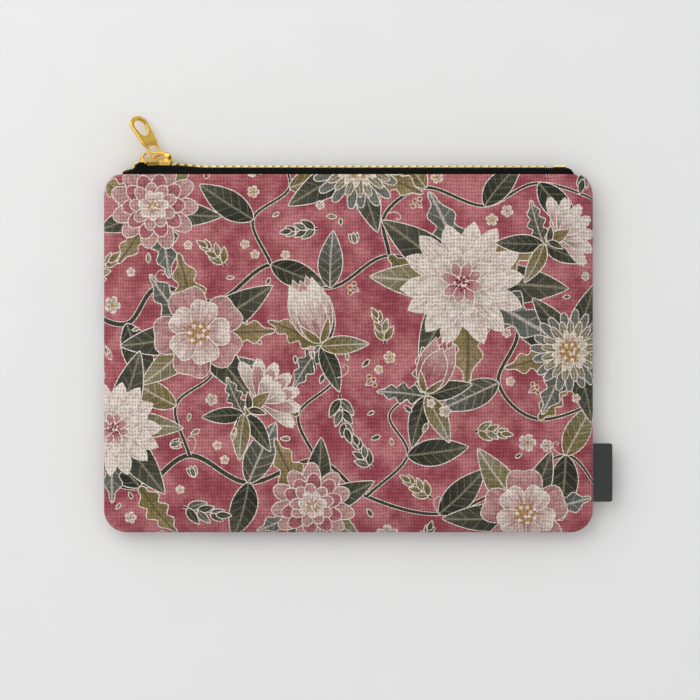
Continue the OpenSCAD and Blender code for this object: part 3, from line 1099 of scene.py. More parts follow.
    def tulip(self, at: Spot, angle: float, size: float, tint: Tint, inner: Tint) -> None:
        """Adds a tulip seen from its side.

        Args:
            at: Where it meets its stem.
            angle: Direction it points in.
            size: Its length.
            tint: Wash of the outer petals.
            inner: Wash of the petals behind.
        """
        for lean, reach, wide, wash in (
            (0.24, 0.98, 0.4, inner), (-0.24, 0.98, 0.4, inner), (0.0, 0.94, 0.42, inner),
            (0.42, 0.92, 0.42, tint), (-0.42, 0.92, 0.42, tint), (0.02, 0.8, 0.5, tint),
        ):
            bend = -0.22 * np.sign(lean) * abs(lean) / 0.42
            self.petal(at, angle + lean, size * reach, size * wide, wash, 0.12, point=0.12, bend=bend)
        for lean in (0.9, -0.9):
            self.leaf(at, angle + lean, size * 0.4, size * 0.12, Tint.OLIVE_LEAF, -0.3 * np.sign(lean))
        self.claim(at + size * 0.55 * towards(angle), size * 0.56)

    def pink(self, at: Spot, angle: float, size: float, tint: Tint, inner: Tint) -> None:
        """Adds a frilled pink seen from its side.

        Args:
            at: Where it meets its stem.
            angle: Direction it points in.
            size: Its length.
            tint: Wash of the outer petals.
            inner: Wash of the inner petals.
        """
        base = at + size * 0.22 * towards(angle)
        for count, spread, reach, wash in ((7, 1.15, 0.78, tint), (5, 0.8, 0.66, inner), (3, 0.4, 0.52, tint)):
            for lean in np.linspace(-spread, spread, count):
                self.petal(base, angle + lean, size * reach, size * 0.3, wash, 0.75, frill=0.035, bend=0.1 * lean)
        self.leaf(at, angle, size * 0.5, size * 0.22, Tint.OLIVE_LEAF)
        for lean in (0.7, -0.7):
            self.leaf(at, angle + lean, size * 0.32, size * 0.12, Tint.PINE_LEAF, 0.2 * np.sign(lean))
        self.claim(at + size * 0.55 * towards(angle), size * 0.62)

    def sprig(
        self, at: Spot, angle: float, length: float, pairs: int, tints: tuple[Tint, ...], bend: float,
        leaf_length: float, leaf_width: float,
    ) -> None:
        """Adds a curved stem with pairs of leaves.

        Args:
            at: Its base.
            angle: Direction it starts in.
            length: Its length.
            pairs: Number of pairs of leaves.
            tints: Washes of the leaves, used in turn.
            bend: How far it turns over its length, in radians.
            leaf_length: Length of its largest leaves.
            leaf_width: Their width as a share of their length.
        """
        t = np.linspace(0, 1, 14)
        heading = angle + bend * t
        steps = np.stack([np.cos(heading), np.sin(heading)], axis=1)
        path = at + np.cumsum(steps, axis=0) * length / len(t)
        self.stroke(path, 1.0, 0.5, Tint.STEM, 0.26)
        for k in range(pairs):
            place = 0.18 + 0.7 * k / max(1, pairs - 1)
            index = int(place * 13)
            grown = leaf_length * (1 - 0.42 * place)
            for hand in (1, -1):
                self.leaf(
                    path[index], heading[index] + hand * (0.85 - 0.3 * place), grown, grown * leaf_width,
                    tints[(k + (hand > 0)) % len(tints)], -0.16 * hand,
                )
        self.leaf(path[-1], heading[-1], leaf_length * 0.7, leaf_length * 0.7 * leaf_width, tints[0], 0.05)
        self.taken += [(x, y, leaf_length * 0.5) for x, y in path[2::4]]

    def blossom(self, at: Spot, size: float, tint: Tint) -> None:
        """Adds a small five-petalled flower.

        Args:
            at: Its middle.
            size: Length of its petals.
            tint: Their wash.
        """
        start = self.vary(math.pi)
        for k in range(5):
            self.petal(at, start + 2 * math.pi * k / 5, size, size * 0.78, tint, 0.45, notch=0.1, edge=0.28)
        self.dot(at, size * 0.26, Tint.POLLEN, 0.2)
        self.claim(at, size * 1.1)

    def bud(self, at: Spot, angle: float, size: float, tint: Tint) -> None:
        """Adds a closed bud on a short stem.

        Args:
            at: Where it meets its stem.
            angle: Direction it points in.
            size: Its length.
            tint: Its wash.
        """
        stem = at + towards(angle) * np.linspace(-size * 1.1, 0, 5)[:, None]
        self.stroke(stem, 0.7, 0.5, Tint.STEM, 0.22)
        self.petal(at, angle, size, size * 0.5, tint, 0.1, point=0.1, edge=0.3)
        for lean in (0.35, -0.35):
            self.leaf(at, angle + lean, size * 0.6, size * 0.2, Tint.OLIVE_LEAF, -0.2 * np.sign(lean))
        self.claim(at, size * 0.9)

    def berries(self, at: Spot, angle: float, size: float) -> None:
        """Adds three berries on thin stalks.

        Args:
            at: Where the stalks meet.
            angle: Direction of the middle one.
            size: Length of the stalks.
        """
        for lean in (-0.55, 0.0, 0.55):
            heading = towards(angle + lean)
            tip = at + heading * size * (1 - 0.15 * abs(lean))
            self.stroke(np.linspace(at, tip, 5), 0.45, 0.4, Tint.TENDRIL, 0.0)
            self.dot(tip, size * 0.2, Tint.POLLEN, 0.3)
            self.dot(tip + heading * size * 0.06, size * 0.09, Tint.SEED)
        self.claim(at, size)

    def claim(self, at: Spot, radius: float) -> None:
        """Keeps later small shapes off a round patch of ground."""
        self.taken.append((float(at[0]), float(at[1]), radius))

    def free(self, at: Spot, radius: float) -> bool:
        """Whether nothing stands within a radius of a place."""
        spots = np.array(self.taken)
        return bool(np.all(np.hypot(spots[:, 0] - at[0], spots[:, 1] - at[1]) > spots[:, 2] + radius))

    def fill(self, tries: int) -> None:
        """Fills bare ground with small flowers, buds, berries and leaves.

        Args:
            tries: Number of places that are tried for each size.
        """
        reach = self.half + 4
        for radius in self.SIZES:
            for _ in range(tries):
                at = self.random.uniform(-reach, reach)
                angle = self.vary(math.pi)
                kind = int(self.random.integers(0, 4))
                if not self.free(at, radius):
                    continue
                if radius > 8:
                    tints = ((Tint.PINE_LEAF, Tint.SLATE_LEAF), (Tint.OLIVE_LEAF, Tint.SAGE_LEAF))[kind % 2]
                    base = at - towards(angle) * radius * 0.9
                    self.sprig(base, angle, radius * 1.5, 3, tints, self.vary(0.6), radius * 0.85, 0.42)
                    self.claim(at, radius)
                elif radius > 4:
                    if kind == 0:
                        self.blossom(at, radius * 0.8, Tint.PALE_PETAL)
                    elif kind == 1:
                        self.bud(at, angle, radius * 0.95, Tint.PINK_PETAL)
                    elif kind == 2:
                        self.berries(at, angle, radius * 0.9)
                    else:
                        for lean, tint in ((0.5, Tint.PINE_LEAF), (-0.5, Tint.OLIVE_LEAF), (0.0, Tint.SLATE_LEAF)):
                            self.leaf(at, angle + lean, radius * 0.95, radius * 0.36, tint, -0.2 * lean)
                        self.claim(at, radius * 0.9)
                elif kind < 2:
                    self.blossom(at, radius * 0.75, Tint.OCHRE_PETAL if kind else Tint.PALE_PETAL)
                else:
                    self.leaf(at, angle, radius * 1.1, radius * 0.45, Tint.SAGE_LEAF if kind == 2 else Tint.PINE_LEAF)
                    self.claim(at, radius * 0.8)


DAHLIA = [
    Ring(14, 1.0, 0.42, Tint.CREAM_PETAL, 0.45, point=0.06),
    Ring(12, 0.78, 0.36, Tint.CREAM_PETAL, 0.45, point=0.06, phase=0.2),
    Ring(10, 0.55, 0.3, Tint.PALE_PETAL, 0.4, point=0.06, phase=0.1),
    Ring(8, 0.34, 0.2, Tint.PINK_PETAL, 0.4, point=0.06),
]
WILD_ROSE = [
    Ring(5, 1.0, 1.02, Tint.PINK_PETAL, 0.5, notch=0.1),
    Ring(5, 0.7, 0.72, Tint.CREAM_PETAL, 0.5, notch=0.1, phase=0.63),
]
ASTER = [
    Ring(19, 1.0, 0.25, Tint.SLATE_PETAL, 0.5, notch=0.03),
    Ring(17, 0.74, 0.2, Tint.SAGE_LEAF, 0.5),
    Ring(13, 0.48, 0.16, Tint.OCHRE_PETAL, 0.5),
]
ZINNIA = [
    Ring(11, 1.0, 0.5, Tint.PINK_PETAL, 0.4),
    Ring(10, 0.76, 0.42, Tint.WINE_PETAL, 0.4, phase=0.2),
    Ring(9, 0.54, 0.32, Tint.PINK_PETAL, 0.4),
    Ring(7, 0.34, 0.24, Tint.CREAM_PETAL, 0.4, phase=0.3),
]


def paint_floral(design: PrintDesign) -> None:
    """Lays out the print's vines, leaves and flowers.

    Args:
        design: The print that takes them.
    """
    design.vine([(-118, -52), (-92, -58), (-70, -44), (-44, -56), (-14, -46), (8, -62), (40, -70), (70, -58)], 2.2, 1.1)
    design.vine([(70, -58), (96, -44), (112, -58), (122, -50)], 1.2, 0.9)
    design.vine([(-120, 20), (-98, 14), (-84, 30), (-58, 24), (-34, 40), (-8, 30), (18, 44), (50, 32)], 2.0, 1.0)
    design.vine([(50, 32), (74, 12), (66, -12), (84, -28), (118, -18)], 1.8, 0.9)
    design.vine([(-34, 40), (-42, 60), (-26, 74), (-32, 92)], 1.3, 0.8)
    design.vine([(18, 44), (16, 62), (34, 74), (60, 66), (84, 76), (118, 66)], 1.5, 0.8)
    design.vine([(-70, -44), (-76, -22), (-60, -8), (-66, 8)], 1.3, 0.8)
    design.vine([(-14, -46), (-22, -26), (-6, -10), (-12, 8)], 1.3, 0.8)
    design.vine([(8, -62), (26, -44), (18, -26), (34, -14)], 1.2, 0.8)

    leaf_sets = (
        ((-92, -58), 2.3, 30, Tint.PINE_LEAF), ((-92, -58), -1.0, 24, Tint.OLIVE_LEAF),
        ((-44, -56), 1.2, 26, Tint.SLATE_LEAF), ((-44, -56), -1.7, 24, Tint.PINE_LEAF),
        ((40, -70), 0.7, 25, Tint.PINE_LEAF), ((96, -44), 1.1, 24, Tint.SAGE_LEAF),
        ((96, -44), -1.6, 26, Tint.PINE_LEAF), ((-98, 14), -1.2, 27, Tint.PINE_LEAF),
        ((-58, 24), -0.9, 24, Tint.OLIVE_LEAF), ((-34, 40), -0.4, 23, Tint.PINE_LEAF),
        ((-8, 30), 1.6, 22, Tint.SLATE_LEAF), ((18, 44), -0.8, 23, Tint.OLIVE_LEAF),
        ((74, 12), -0.2, 26, Tint.PINE_LEAF), ((66, -12), -2.7, 25, Tint.SLATE_LEAF),
        ((84, -28), 0.9, 20, Tint.OLIVE_LEAF), ((34, 74), 2.2, 20, Tint.SAGE_LEAF),
        ((60, 66), 1.0, 22, Tint.PINE_LEAF), ((84, 76), -0.9, 24, Tint.PINE_LEAF),
        ((-42, 60), 2.6, 25, Tint.PINE_LEAF), ((-26, 74), 0.3, 22, Tint.SAGE_LEAF),
        ((-76, -22), 2.7, 22, Tint.SAGE_LEAF), ((-22, -26), 2.6, 21, Tint.OLIVE_LEAF),
        ((26, -44), 0.1, 24, Tint.PINE_LEAF), ((-60, -8), 0.3, 20, Tint.SLATE_LEAF),
    )
    for at, angle, length, tint in leaf_sets:
        lobes = 4 if tint is Tint.OLIVE_LEAF else 0
        design.leaf(at, angle, length * 1.12, length * 0.48, tint, design.vary(0.14), lobes)
        design.claim(at + 0.55 * length * towards(angle), length * 0.34)

    flowers = (
        ((50, 32), 26, DAHLIA, 0.13, Tint.SEED, 8), ((-66, 10), 21, WILD_ROSE, 0.24, Tint.POLLEN, 7),
        ((-16, -66), 18, ZINNIA, 0.15, Tint.POLLEN, 6), ((98, 2), 18, ASTER, 0.26, Tint.POLLEN, 6),
        ((-104, -32), 20, DAHLIA, 0.14, Tint.SEED, 7), ((-86, 66), 19, ZINNIA, 0.15, Tint.POLLEN, 7),
        ((78, -70), 20, WILD_ROSE, 0.24, Tint.POLLEN, 6), ((4, 84), 20, ASTER, 0.26, Tint.POLLEN, 6),
    )
    for number, (at, radius, _, _, _, leaves) in enumerate(flowers):
        design.foliage(at, radius, leaves, 0.7 * number)
    for at, radius, rings, heart, heart_tint, _ in flowers:
        design.rosette(at, radius, rings, heart, heart_tint)
    for at, radius in (((-12, 4), 14), ((34, -18), 13), ((-46, -26), 12), ((86, 49), 12)):
        design.foliage(at, radius, 5, radius)
    design.tulip((-12, 6), 1.9, 27, Tint.CREAM_PETAL, Tint.PINK_PETAL)
    design.tulip((34, -16), 1.2, 23, Tint.PINK_PETAL, Tint.WINE_PETAL)
    design.pink((-44, -24), 0.7, 24, Tint.PALE_PETAL, Tint.PINK_PETAL)
    design.pink((88, 50), 0.5, 22, Tint.CREAM_PETAL, Tint.PALE_PETAL)

    for at, angle, size, hand in (
        ((-70, -44), 0.9, 12, 1), ((40, -70), 2.2, 11, -1), ((74, 12), 2.6, 11, 1), ((-84, 30), 1.9, 11, -1),
        ((16, 62), 0.4, 10, -1), ((96, -44), 2.9, 11, -1), ((-6, -10), 0.2, 11, 1),
    ):
        design.tendril(at, angle, size, hand)
    design.fill(900)


class CanvasPanel:
    """One printed half of the pouch, cut from flat cloth and bent over the filled form."""

    ACROSS, UP = 96, 74
    FINE = 800
    SNAP = 1e-4
    INSIDE = Layer(inset=3.0, depth=0.8)
    BAKE_SHARE, BAKE_MARGIN = 0.99, 0.004
    REVERSE_SHARE, REVERSE_CORNER = 0.2, (0.01, 0.78)

    def __init__(self, surface: PouchSurface, side: Side) -> None:
        """Works out how the flat cloth lies on the form.

        Args:
            surface: The filled pouch.
            side: The half that this panel covers.
        """
        self.surface, self.side = surface, side
        form = surface.form
        fine = spaced(self.FINE)
        across = form.bulge(fine, np.full_like(fine, 0.5), side)
        self.m_steps, self.s_steps = fine, (fine + 1) / 2
        self.p_steps = self._lengths(np.diff(fine) * form.width / 2, np.diff(across))
        rise = form.bulge(np.zeros_like(fine), self.s_steps, side)
        self.q_steps = self._lengths(np.diff(self.s_steps) * form.height, np.diff(rise))

    @staticmethod
    def _lengths(along: Array, up: Array) -> Array:
        """Lengths along a bent line, counted from its middle, after each of its steps."""
        steps = np.concatenate([[0], np.cumsum(np.hypot(along, up))])
        return steps - steps[-1] / 2

    @property
    def flat(self) -> tuple[float, float]:
        """Width and length of the flat cloth."""
        return 2 * float(self.p_steps[-1]), 2 * float(self.q_steps[-1])

    def narrowing(self, s: Array) -> Array:
        """The plan's width at rows of the cloth, as a share of its full width."""
        form = self.surface.form
        return form.half_width(form.bottom_y + form.height * s) / (form.width / 2)

    def on_flat(self, m: Array, s: Array) -> Array:
        """Places on the flat cloth from places in the plan."""
        p = np.interp(m, self.m_steps, self.p_steps) * self.narrowing(s)
        return np.stack([p, np.interp(s, self.s_steps, self.q_steps)], axis=-1)

    def in_plan(self, flat: Array) -> tuple[Array, Array]:
        """Places in the plan from places on the flat cloth."""
        s = np.interp(flat[:, 1], self.q_steps, self.s_steps)
        return np.interp(flat[:, 0] / self.narrowing(s), self.p_steps, self.m_steps), s

    def rim(self, count_x: int, count_y: int) -> tuple[Array, Array]:
        """Plan places round the panel's edge, anticlockwise.

        Args:
            count_x: Number of steps along the mouth.
            count_y: Number of steps up a side.

        Returns:
            Places across and places up the pouch.
        """
        m, s = spaced(count_x), shares(count_y)
        one_m, one_s = np.ones(count_x), np.ones(count_y)
        return (
            np.concatenate([m[:-1], one_s, m[:0:-1], -one_s]),
            np.concatenate([0 * one_m, s[:-1], one_m, s[:0:-1]]),
        )

    def build(self, name: str, design: PrintDesign, canvas: Finish, reverse: Finish) -> Piece:
        """Cuts the print into the panel's mesh and bends it over the form.

        Args:
            name: The piece's name.
            design: The print.
            canvas: Finish of the printed face.
            reverse: Finish of the unprinted face.

        Returns:
            The panel.
        """
        flat, faces, tops = self._cut(design)
        m, s = self.in_plan(flat)
        m = m * self.side.value
        outer = self.surface.points(m, s, self.side)
        inner, inner_faces, inner_rim = self._inside(len(outer))
        rim = self._bridge(faces, inner_rim, outer, inner)
        piece = new_piece(name, np.concatenate([outer, inner]), [*faces.tolist(), *inner_faces, *rim])
        piece.data.materials.append(canvas)
        piece.data.materials.append(reverse)
        self._finish(piece, flat, faces, tops, design, self.surface.normals(m, s, self.side))
        return piece

    def _cut(self, design: PrintDesign) -> tuple[Array, Array, Array]:
        """Cuts the flat cloth along every shape of the print.

        Args:
            design: The print.

        Returns:
            Flat places, triangles, and the number of the shape that shows on each triangle, or -1 for the ground.
        """
        edge = self.on_flat(*self.rim(2 * self.ACROSS, 2 * self.UP))
        plan = np.meshgrid(spaced(self.ACROSS)[1:-1], shares(self.UP)[1:-1])
        grid = self.on_flat(*(a.ravel() for a in plan))
        loops = [edge, *[shape.outline for shape in design.shapes]]
        starts = np.cumsum([0] + [len(loop) for loop in loops])
        borders = [
            (first + k, first + (k + 1) % len(loop)) for first, loop in zip(starts, loops) for k in range(len(loop))
        ]
        coords = [Vector(place) for place in np.concatenate([*loops, grid]).tolist()]
        found, _, triangles, *_ = delaunay_2d_cdt(coords, borders, [], 0, self.SNAP, False)
        flat, faces = np.array([tuple(place) for place in found]), np.array(triangles)
        middles = flat[faces].mean(axis=1)
        kept = inside(middles, edge)
        faces, middles = faces[kept], middles[kept]
        used, numbers = np.unique(faces, return_inverse=True)
        return flat[used], numbers.reshape(faces.shape), self._shown(middles, design)

    @staticmethod
    def _shown(middles: Array, design: PrintDesign) -> Array:
        """The shape that shows at each place.

        Args:
            middles: Places on the flat cloth.
            design: The print.

        Returns:
            The number of the last shape painted over each place, or -1 for the ground.
        """
        tops = np.full(len(middles), -1)
        order = np.argsort(middles[:, 0])
        across = middles[order, 0]
        for k, shape in enumerate(design.shapes):
            low, high = shape.outline.min(axis=0), shape.outline.max(axis=0)
            near = order[np.searchsorted(across, low[0]):np.searchsorted(across, high[0], "right")]
            near = near[(middles[near, 1] >= low[1]) & (middles[near, 1] <= high[1])]
            if len(near):
                tops[near[inside(middles[near], shape.outline)]] = k
        return tops

    def _inside(self, first: int) -> tuple[Array, list, list]:
        """The panel's inner face, with its turned-in seam allowance.

        Args:
            first: Number of its first vertex.

        Returns:
            Its points, its faces, and the vertex numbers round its edge.
        """
        columns, rows = self.ACROSS // 2, self.UP // 2
        grid_m, grid_s = (a.ravel() for a in np.meshgrid(spaced(columns), shares(rows)))
        points = self.surface.points(grid_m * self.side.value, grid_s, self.side, self.INSIDE)
        number = first + np.arange(len(points)).reshape(rows + 1, columns + 1)
        return points, grid_quads(number)[:, FLIPPED].tolist(), grid_rim(number).tolist()

    def _turns(self, points: Array) -> Array:
        """Directions of points from the panel's middle.

        Args:
            points: Rows of x, y and z.

        Returns:
            Turns from 0 to 1.
        """
        form = self.surface.form
        x, y = points[:, 0] * self.side.value / form.width, points[:, 1] / form.height
        return np.arctan2(y, x) / (2 * math.pi) % 1

    def _bridge(self, faces: Array, inner_rim: list, outer: Array, inner: Array) -> list:
        """Joins the outer face's edge to the inner face's edge.

        Args:
            faces: Triangles of the outer face.
            inner_rim: Vertex numbers round the inner face.
            outer: The outer face's points.
            inner: The inner face's points.

        Returns:
            Triangles of the rim.
        """
        sides = np.concatenate([faces[:, [0, 1]], faces[:, [1, 2]], faces[:, [2, 0]]])
        pairs = {(a, b) for a, b in sides.tolist()}
        after = {a: b for a, b in pairs if (b, a) not in pairs}
        loops = []
        while after:
            loops.append([next(iter(after))])
            while (step := after.pop(loops[-1][-1], None)) is not None and step != loops[-1][0]:
                loops[-1].append(step)
        loop = max(loops, key=len)
        out_angle = self._turns(outer[loop])
        in_angle = self._turns(inner[np.array(inner_rim) - len(outer)])
        a, b = int(np.argmin(out_angle)), int(np.argmin(in_angle))
        loop, out_angle = loop[a:] + loop[:a], np.roll(out_angle, -a)
        ring, in_angle = inner_rim[b:] + inner_rim[:b], np.roll(in_angle, -b)
        out_angle, in_angle = np.append(out_angle, 1 + out_angle[0]), np.append(in_angle, 1 + in_angle[0])
        rim, i, j = [], 0, 0
        while i < len(loop) or j < len(ring):
            p, q = loop[i % len(loop)], ring[j % len(ring)]
            if j == len(ring) or (i < len(loop) and out_angle[i + 1] <= in_angle[j + 1]):
                rim.append((p, q, loop[(i + 1) % len(loop)]))
                i += 1
            else:
                rim.append((p, q, ring[(j + 1) % len(ring)]))
                j += 1
        return rim

    def _finish(
        self, piece: Piece, flat: Array, faces: Array, tops: Array, design: PrintDesign, normals: Array,
    ) -> None:
        """Writes the print's inks, the flat maps and the smooth normals to the mesh.

        Args:
            piece: The panel.
            flat: Flat places of the outer face.
            faces: Its triangles.
            tops: The shape that shows on each triangle.
            design: The print.
            normals: Directions of the outer face's vertices.
        """
        mesh = piece.data
        count = len(faces)
        self._ink(mesh, flat, faces, tops, design.shapes)
        cloth = coordinates(mesh)[:, :2].copy()
        cloth[: len(flat)] = flat * MM
        set_uv(piece, "Cloth", cloth)
        width, length = self.flat
        bake = np.empty_like(cloth)
        bake[: len(flat)] = (flat + [width / 2, length / 2]) / width * self.BAKE_SHARE + self.BAKE_MARGIN
        bake[len(flat):] = (cloth[len(flat):] / (width * MM) + 0.5) * self.REVERSE_SHARE + self.REVERSE_CORNER
        set_uv(piece, "OFBake", bake)

        material = np.ones(len(mesh.polygons), np.int32)
        material[:count] = 0
        mesh.polygons.foreach_set("material_index", material)
        mesh.update()
        flat_normals = np.zeros(len(mesh.polygons) * 3, np.float32)
        mesh.polygons.foreach_get("normal", flat_normals)
        sizes = np.zeros(len(mesh.polygons), np.int32)
        mesh.polygons.foreach_get("loop_total", sizes)
        split = np.repeat(flat_normals.reshape(-1, 3), sizes, axis=0)
        split[: count * 3] = normals[faces.ravel()]
        mesh.normals_split_custom_set(split.tolist())

    @staticmethod
    def _ink(mesh: bpy.types.Mesh, flat: Array, faces: Array, tops: Array, shapes: list[InkShape]) -> None:
        """Writes each triangle's inks, and where its corners stand in their shape.

        Args:
            mesh: The panel's mesh.
            flat: Flat places of the outer face.
            faces: Its triangles.
            tops: The shape that shows on each triangle.
            shapes: The print's shapes.
        """
        tints = list(Tint)
        washes = [tint.value for tint in tints]
        number = {tint: k for k, tint in enumerate(tints)}
        ground = number[Tint.GROUND]
        wash_of = np.full(len(mesh.polygons), ground)
        shape_tint = np.array([number[shape.tint] for shape in shapes])
        wash_of[: len(faces)] = np.where(tops < 0, ground, shape_tint[tops])
        for name, pick in (("ink_base", "base"), ("ink_tip", "tip"), ("ink_vein", "vein")):
            table = np.array([(*getattr(wash, pick).value, 1.0) for wash in washes], np.float32)
            layer = mesh.attributes.new(name, "FLOAT_COLOR", "FACE")
            layer.data.foreach_set("color", table[wash_of].ravel())
        table = np.array([(wash.petal, wash.leaf, wash.ground) for wash in washes], np.float32)
        mesh.attributes.new("ink_mix", "FLOAT_VECTOR", "FACE").data.foreach_set("vector", table[wash_of].ravel())

        at = np.zeros((len(mesh.loops), 3), np.float32)
        order = np.argsort(tops, kind="stable")
        cuts = np.searchsorted(tops[order], np.arange(len(shapes) + 1))
        for k, shape in enumerate(shapes):
            rows = order[cuts[k]:cuts[k + 1]]
            if len(rows):
                where = (rows[:, None] * 3 + np.arange(3)).ravel()
                at[where] = shape.local(flat[faces[rows].ravel()])
        mesh.attributes.new("ink_at", "FLOAT_VECTOR", "CORNER").data.foreach_set("vector", at.ravel())


@dataclass(frozen=True)
class FilledCloth:
    """A short cloth simulation of the filled pouch, which finds its swells and puckers."""

    columns: int = 60
    rows: int = 44
    frames: int = 20
    pressure: float = 4.0
    slack: float = 0.02
    cap: float = 0.9
    finer: int = 4
    mouth_from: float = 0.84
    mouth_to: float = 0.94
    table_hold: float = 0.3
    broad_passes: int = 24
    broad_share: float = 0.75
    fine_passes: int = 6
    quality: int = 6
    mass: float = 0.25
    stretch: float = 30.0
    shear: float = 12.0
    bend: float = 1.5

    def settle(self, form: PouchForm) -> ClothRelief:
        """Blows the cloth up and reads how far it stands from the form.

        Args:
            form: The pouch's shape.

        Returns:
            The swells of both sides.
        """
        m, s = np.meshgrid(np.linspace(-1, 1, self.columns + 1), np.linspace(0, 1, self.rows + 1))
        y = form.bottom_y + form.height * s
        x = m * form.half_width(y)
        number = {Side.FRONT: np.arange(m.size).reshape(m.shape)}
        shared = (s == 0) | (np.abs(m) == 1)
        back = np.where(shared, number[Side.FRONT], -1)
        back[~shared] = m.size + np.arange(np.count_nonzero(~shared))
        number[Side.BACK] = back
        heights = {side: form.bulge(m, s, side) for side in Side}
        front_points = np.stack([x, y, form.seam_height + heights[Side.FRONT]], axis=-1).reshape(-1, 3)
        back_points = np.stack([x, y, form.seam_height - heights[Side.BACK]], axis=-1)[~shared]
        piece = new_piece("filled_cloth", np.concatenate([front_points, back_points]), self._faces(number))
        held = np.concatenate([number[side][-1] for side in Side]).tolist()
        held += back[heights[Side.BACK] > form.back_drop - self.table_hold].ravel().tolist()
        piece.vertex_groups.new(name="held").add(sorted(set(held)), 1.0, "REPLACE")
        settled = self._simulate(piece) / MM
        reliefs = {}
        for side in Side:
            stood = (settled[number[side], 2] - form.seam_height) * side.value
            free = np.where(shared, 0.0, 1.0)
            if side is Side.BACK:
                free = free * ease(form.back_drop - heights[side])
            reliefs[side] = self._swells(stood - heights[side], s, free)
            low, high = reliefs[side].min(), reliefs[side].max()
            LOG.info("swells of the %s: %.2f to %.2f mm", side.name.lower(), low, high)
        return ClothRelief(reliefs)

    def _faces(self, number: dict[Side, Array]) -> list:
        """Faces of both sides and of the strip across the mouth.

        Args:
            number: The grid of vertex numbers of each side.

        Returns:
            Vertex numbers of each face.
        """
        faces = []
        for side in Side:
            quads = grid_quads(number[side])
            faces += (quads if side is Side.FRONT else quads[:, ::-1]).tolist()
        front, back = number[Side.FRONT][-1], number[Side.BACK][-1]
        for k in range(self.columns):
            corners = [front[k], front[k + 1], back[k + 1], back[k]]
            faces.append(list(dict.fromkeys(int(c) for c in corners)))
        return faces

    def _simulate(self, piece: Piece) -> Array:
        """Runs the cloth to its last frame.

        Args:
            piece: The cloth, which is removed.

        Returns:
            Its settled vertices, in metres.
        """
        cloth = piece.modifiers.new("cloth", "CLOTH")
        settings = cloth.settings
        settings.quality = self.quality
        settings.mass = self.mass
        settings.tension_stiffness = settings.compression_stiffness = self.stretch
        settings.shear_stiffness = self.shear
        settings.bending_stiffness = self.bend
        settings.use_pressure = True
        settings.uniform_pressure_force = self.pressure
        settings.shrink_min = -self.slack
        settings.vertex_group_mass = "held"
        settings.effector_weights.gravity = 0.0
        scene = bpy.context.scene
        for step in range(1, self.frames + 1):
            scene.frame_set(step)
        done = piece.evaluated_get(bpy.context.evaluated_depsgraph_get())
        settled = coordinates(done.data).astype(float)
        bpy.data.objects.remove(piece)
        scene.frame_set(1)
        return settled

    def _swells(self, moved: Array, s: Array, free: Array) -> Array:
        """Keeps the cloth's small swells, capped, and runs them out at the seams and the mouth.

        Args:
            moved: How far each point of the grid moved out.
            s: Places up the pouch.
            free: 0 on the seams and where the cloth lies on the table, and 1 elsewhere.

        Returns:
            The swells on a finer grid.
        """
        moved = np.nan_to_num(moved)
        broad = smoothed(moved, self.broad_passes)
        swell = np.clip(moved - self.broad_share * broad, -self.cap, self.cap)
        swell = swell * free * (1 - ease((s - self.mouth_from) / (self.mouth_to - self.mouth_from)))
        rows, columns = swell.shape
        fine_i = np.linspace(0, columns - 1, (columns - 1) * self.finer + 1)
        fine_j = np.linspace(0, rows - 1, (rows - 1) * self.finer + 1)
        wide = np.stack([np.interp(fine_i, np.arange(columns), row) for row in swell])
        fine = np.stack([np.interp(fine_j, np.arange(rows), column) for column in wide.T], axis=1)
        return smoothed(fine, self.fine_passes)


@dataclass(frozen=True)
class Lining:
    """The lining: one closed sheet for each half, set inside the canvas."""

    outer: Layer = Layer(3.6, 3.0, 2.1)
    inner: Layer = Layer(5.6, 3.0, 2.6)
    columns: int = 72
    rows: int = 54

    def build(self, name: str, surface: PouchSurface, side: Side, finish: Finish) -> Piece:
        """Makes one half.

        Args:
            name: The piece's name.
            surface: The filled pouch.
            side: The half.
            finish: Its cloth.

        Returns:
            The lining's half.
        """
        grid_m, grid_s = np.meshgrid(spaced(self.columns), shares(self.rows))
        layers = [surface.points(grid_m, grid_s, side, layer).reshape(-1, 3) for layer in (self.outer, self.inner)]
        number = np.arange(grid_m.size).reshape(grid_m.shape)
        quads = grid_quads(number)
        edge = grid_rim(number)
        after = np.roll(edge, -1)
        rim = np.stack([after, edge, edge + number.size, after + number.size], axis=1)
        faces = np.concatenate([quads, quads[:, ::-1] + number.size, rim])
        points = np.concatenate(layers)
        piece = new_piece(name, points, (faces if side is Side.FRONT else faces[:, ::-1]).tolist())
        piece.data.materials.append(finish)
        set_uv(piece, "Cloth", points[:, :2] * MM)
        return piece


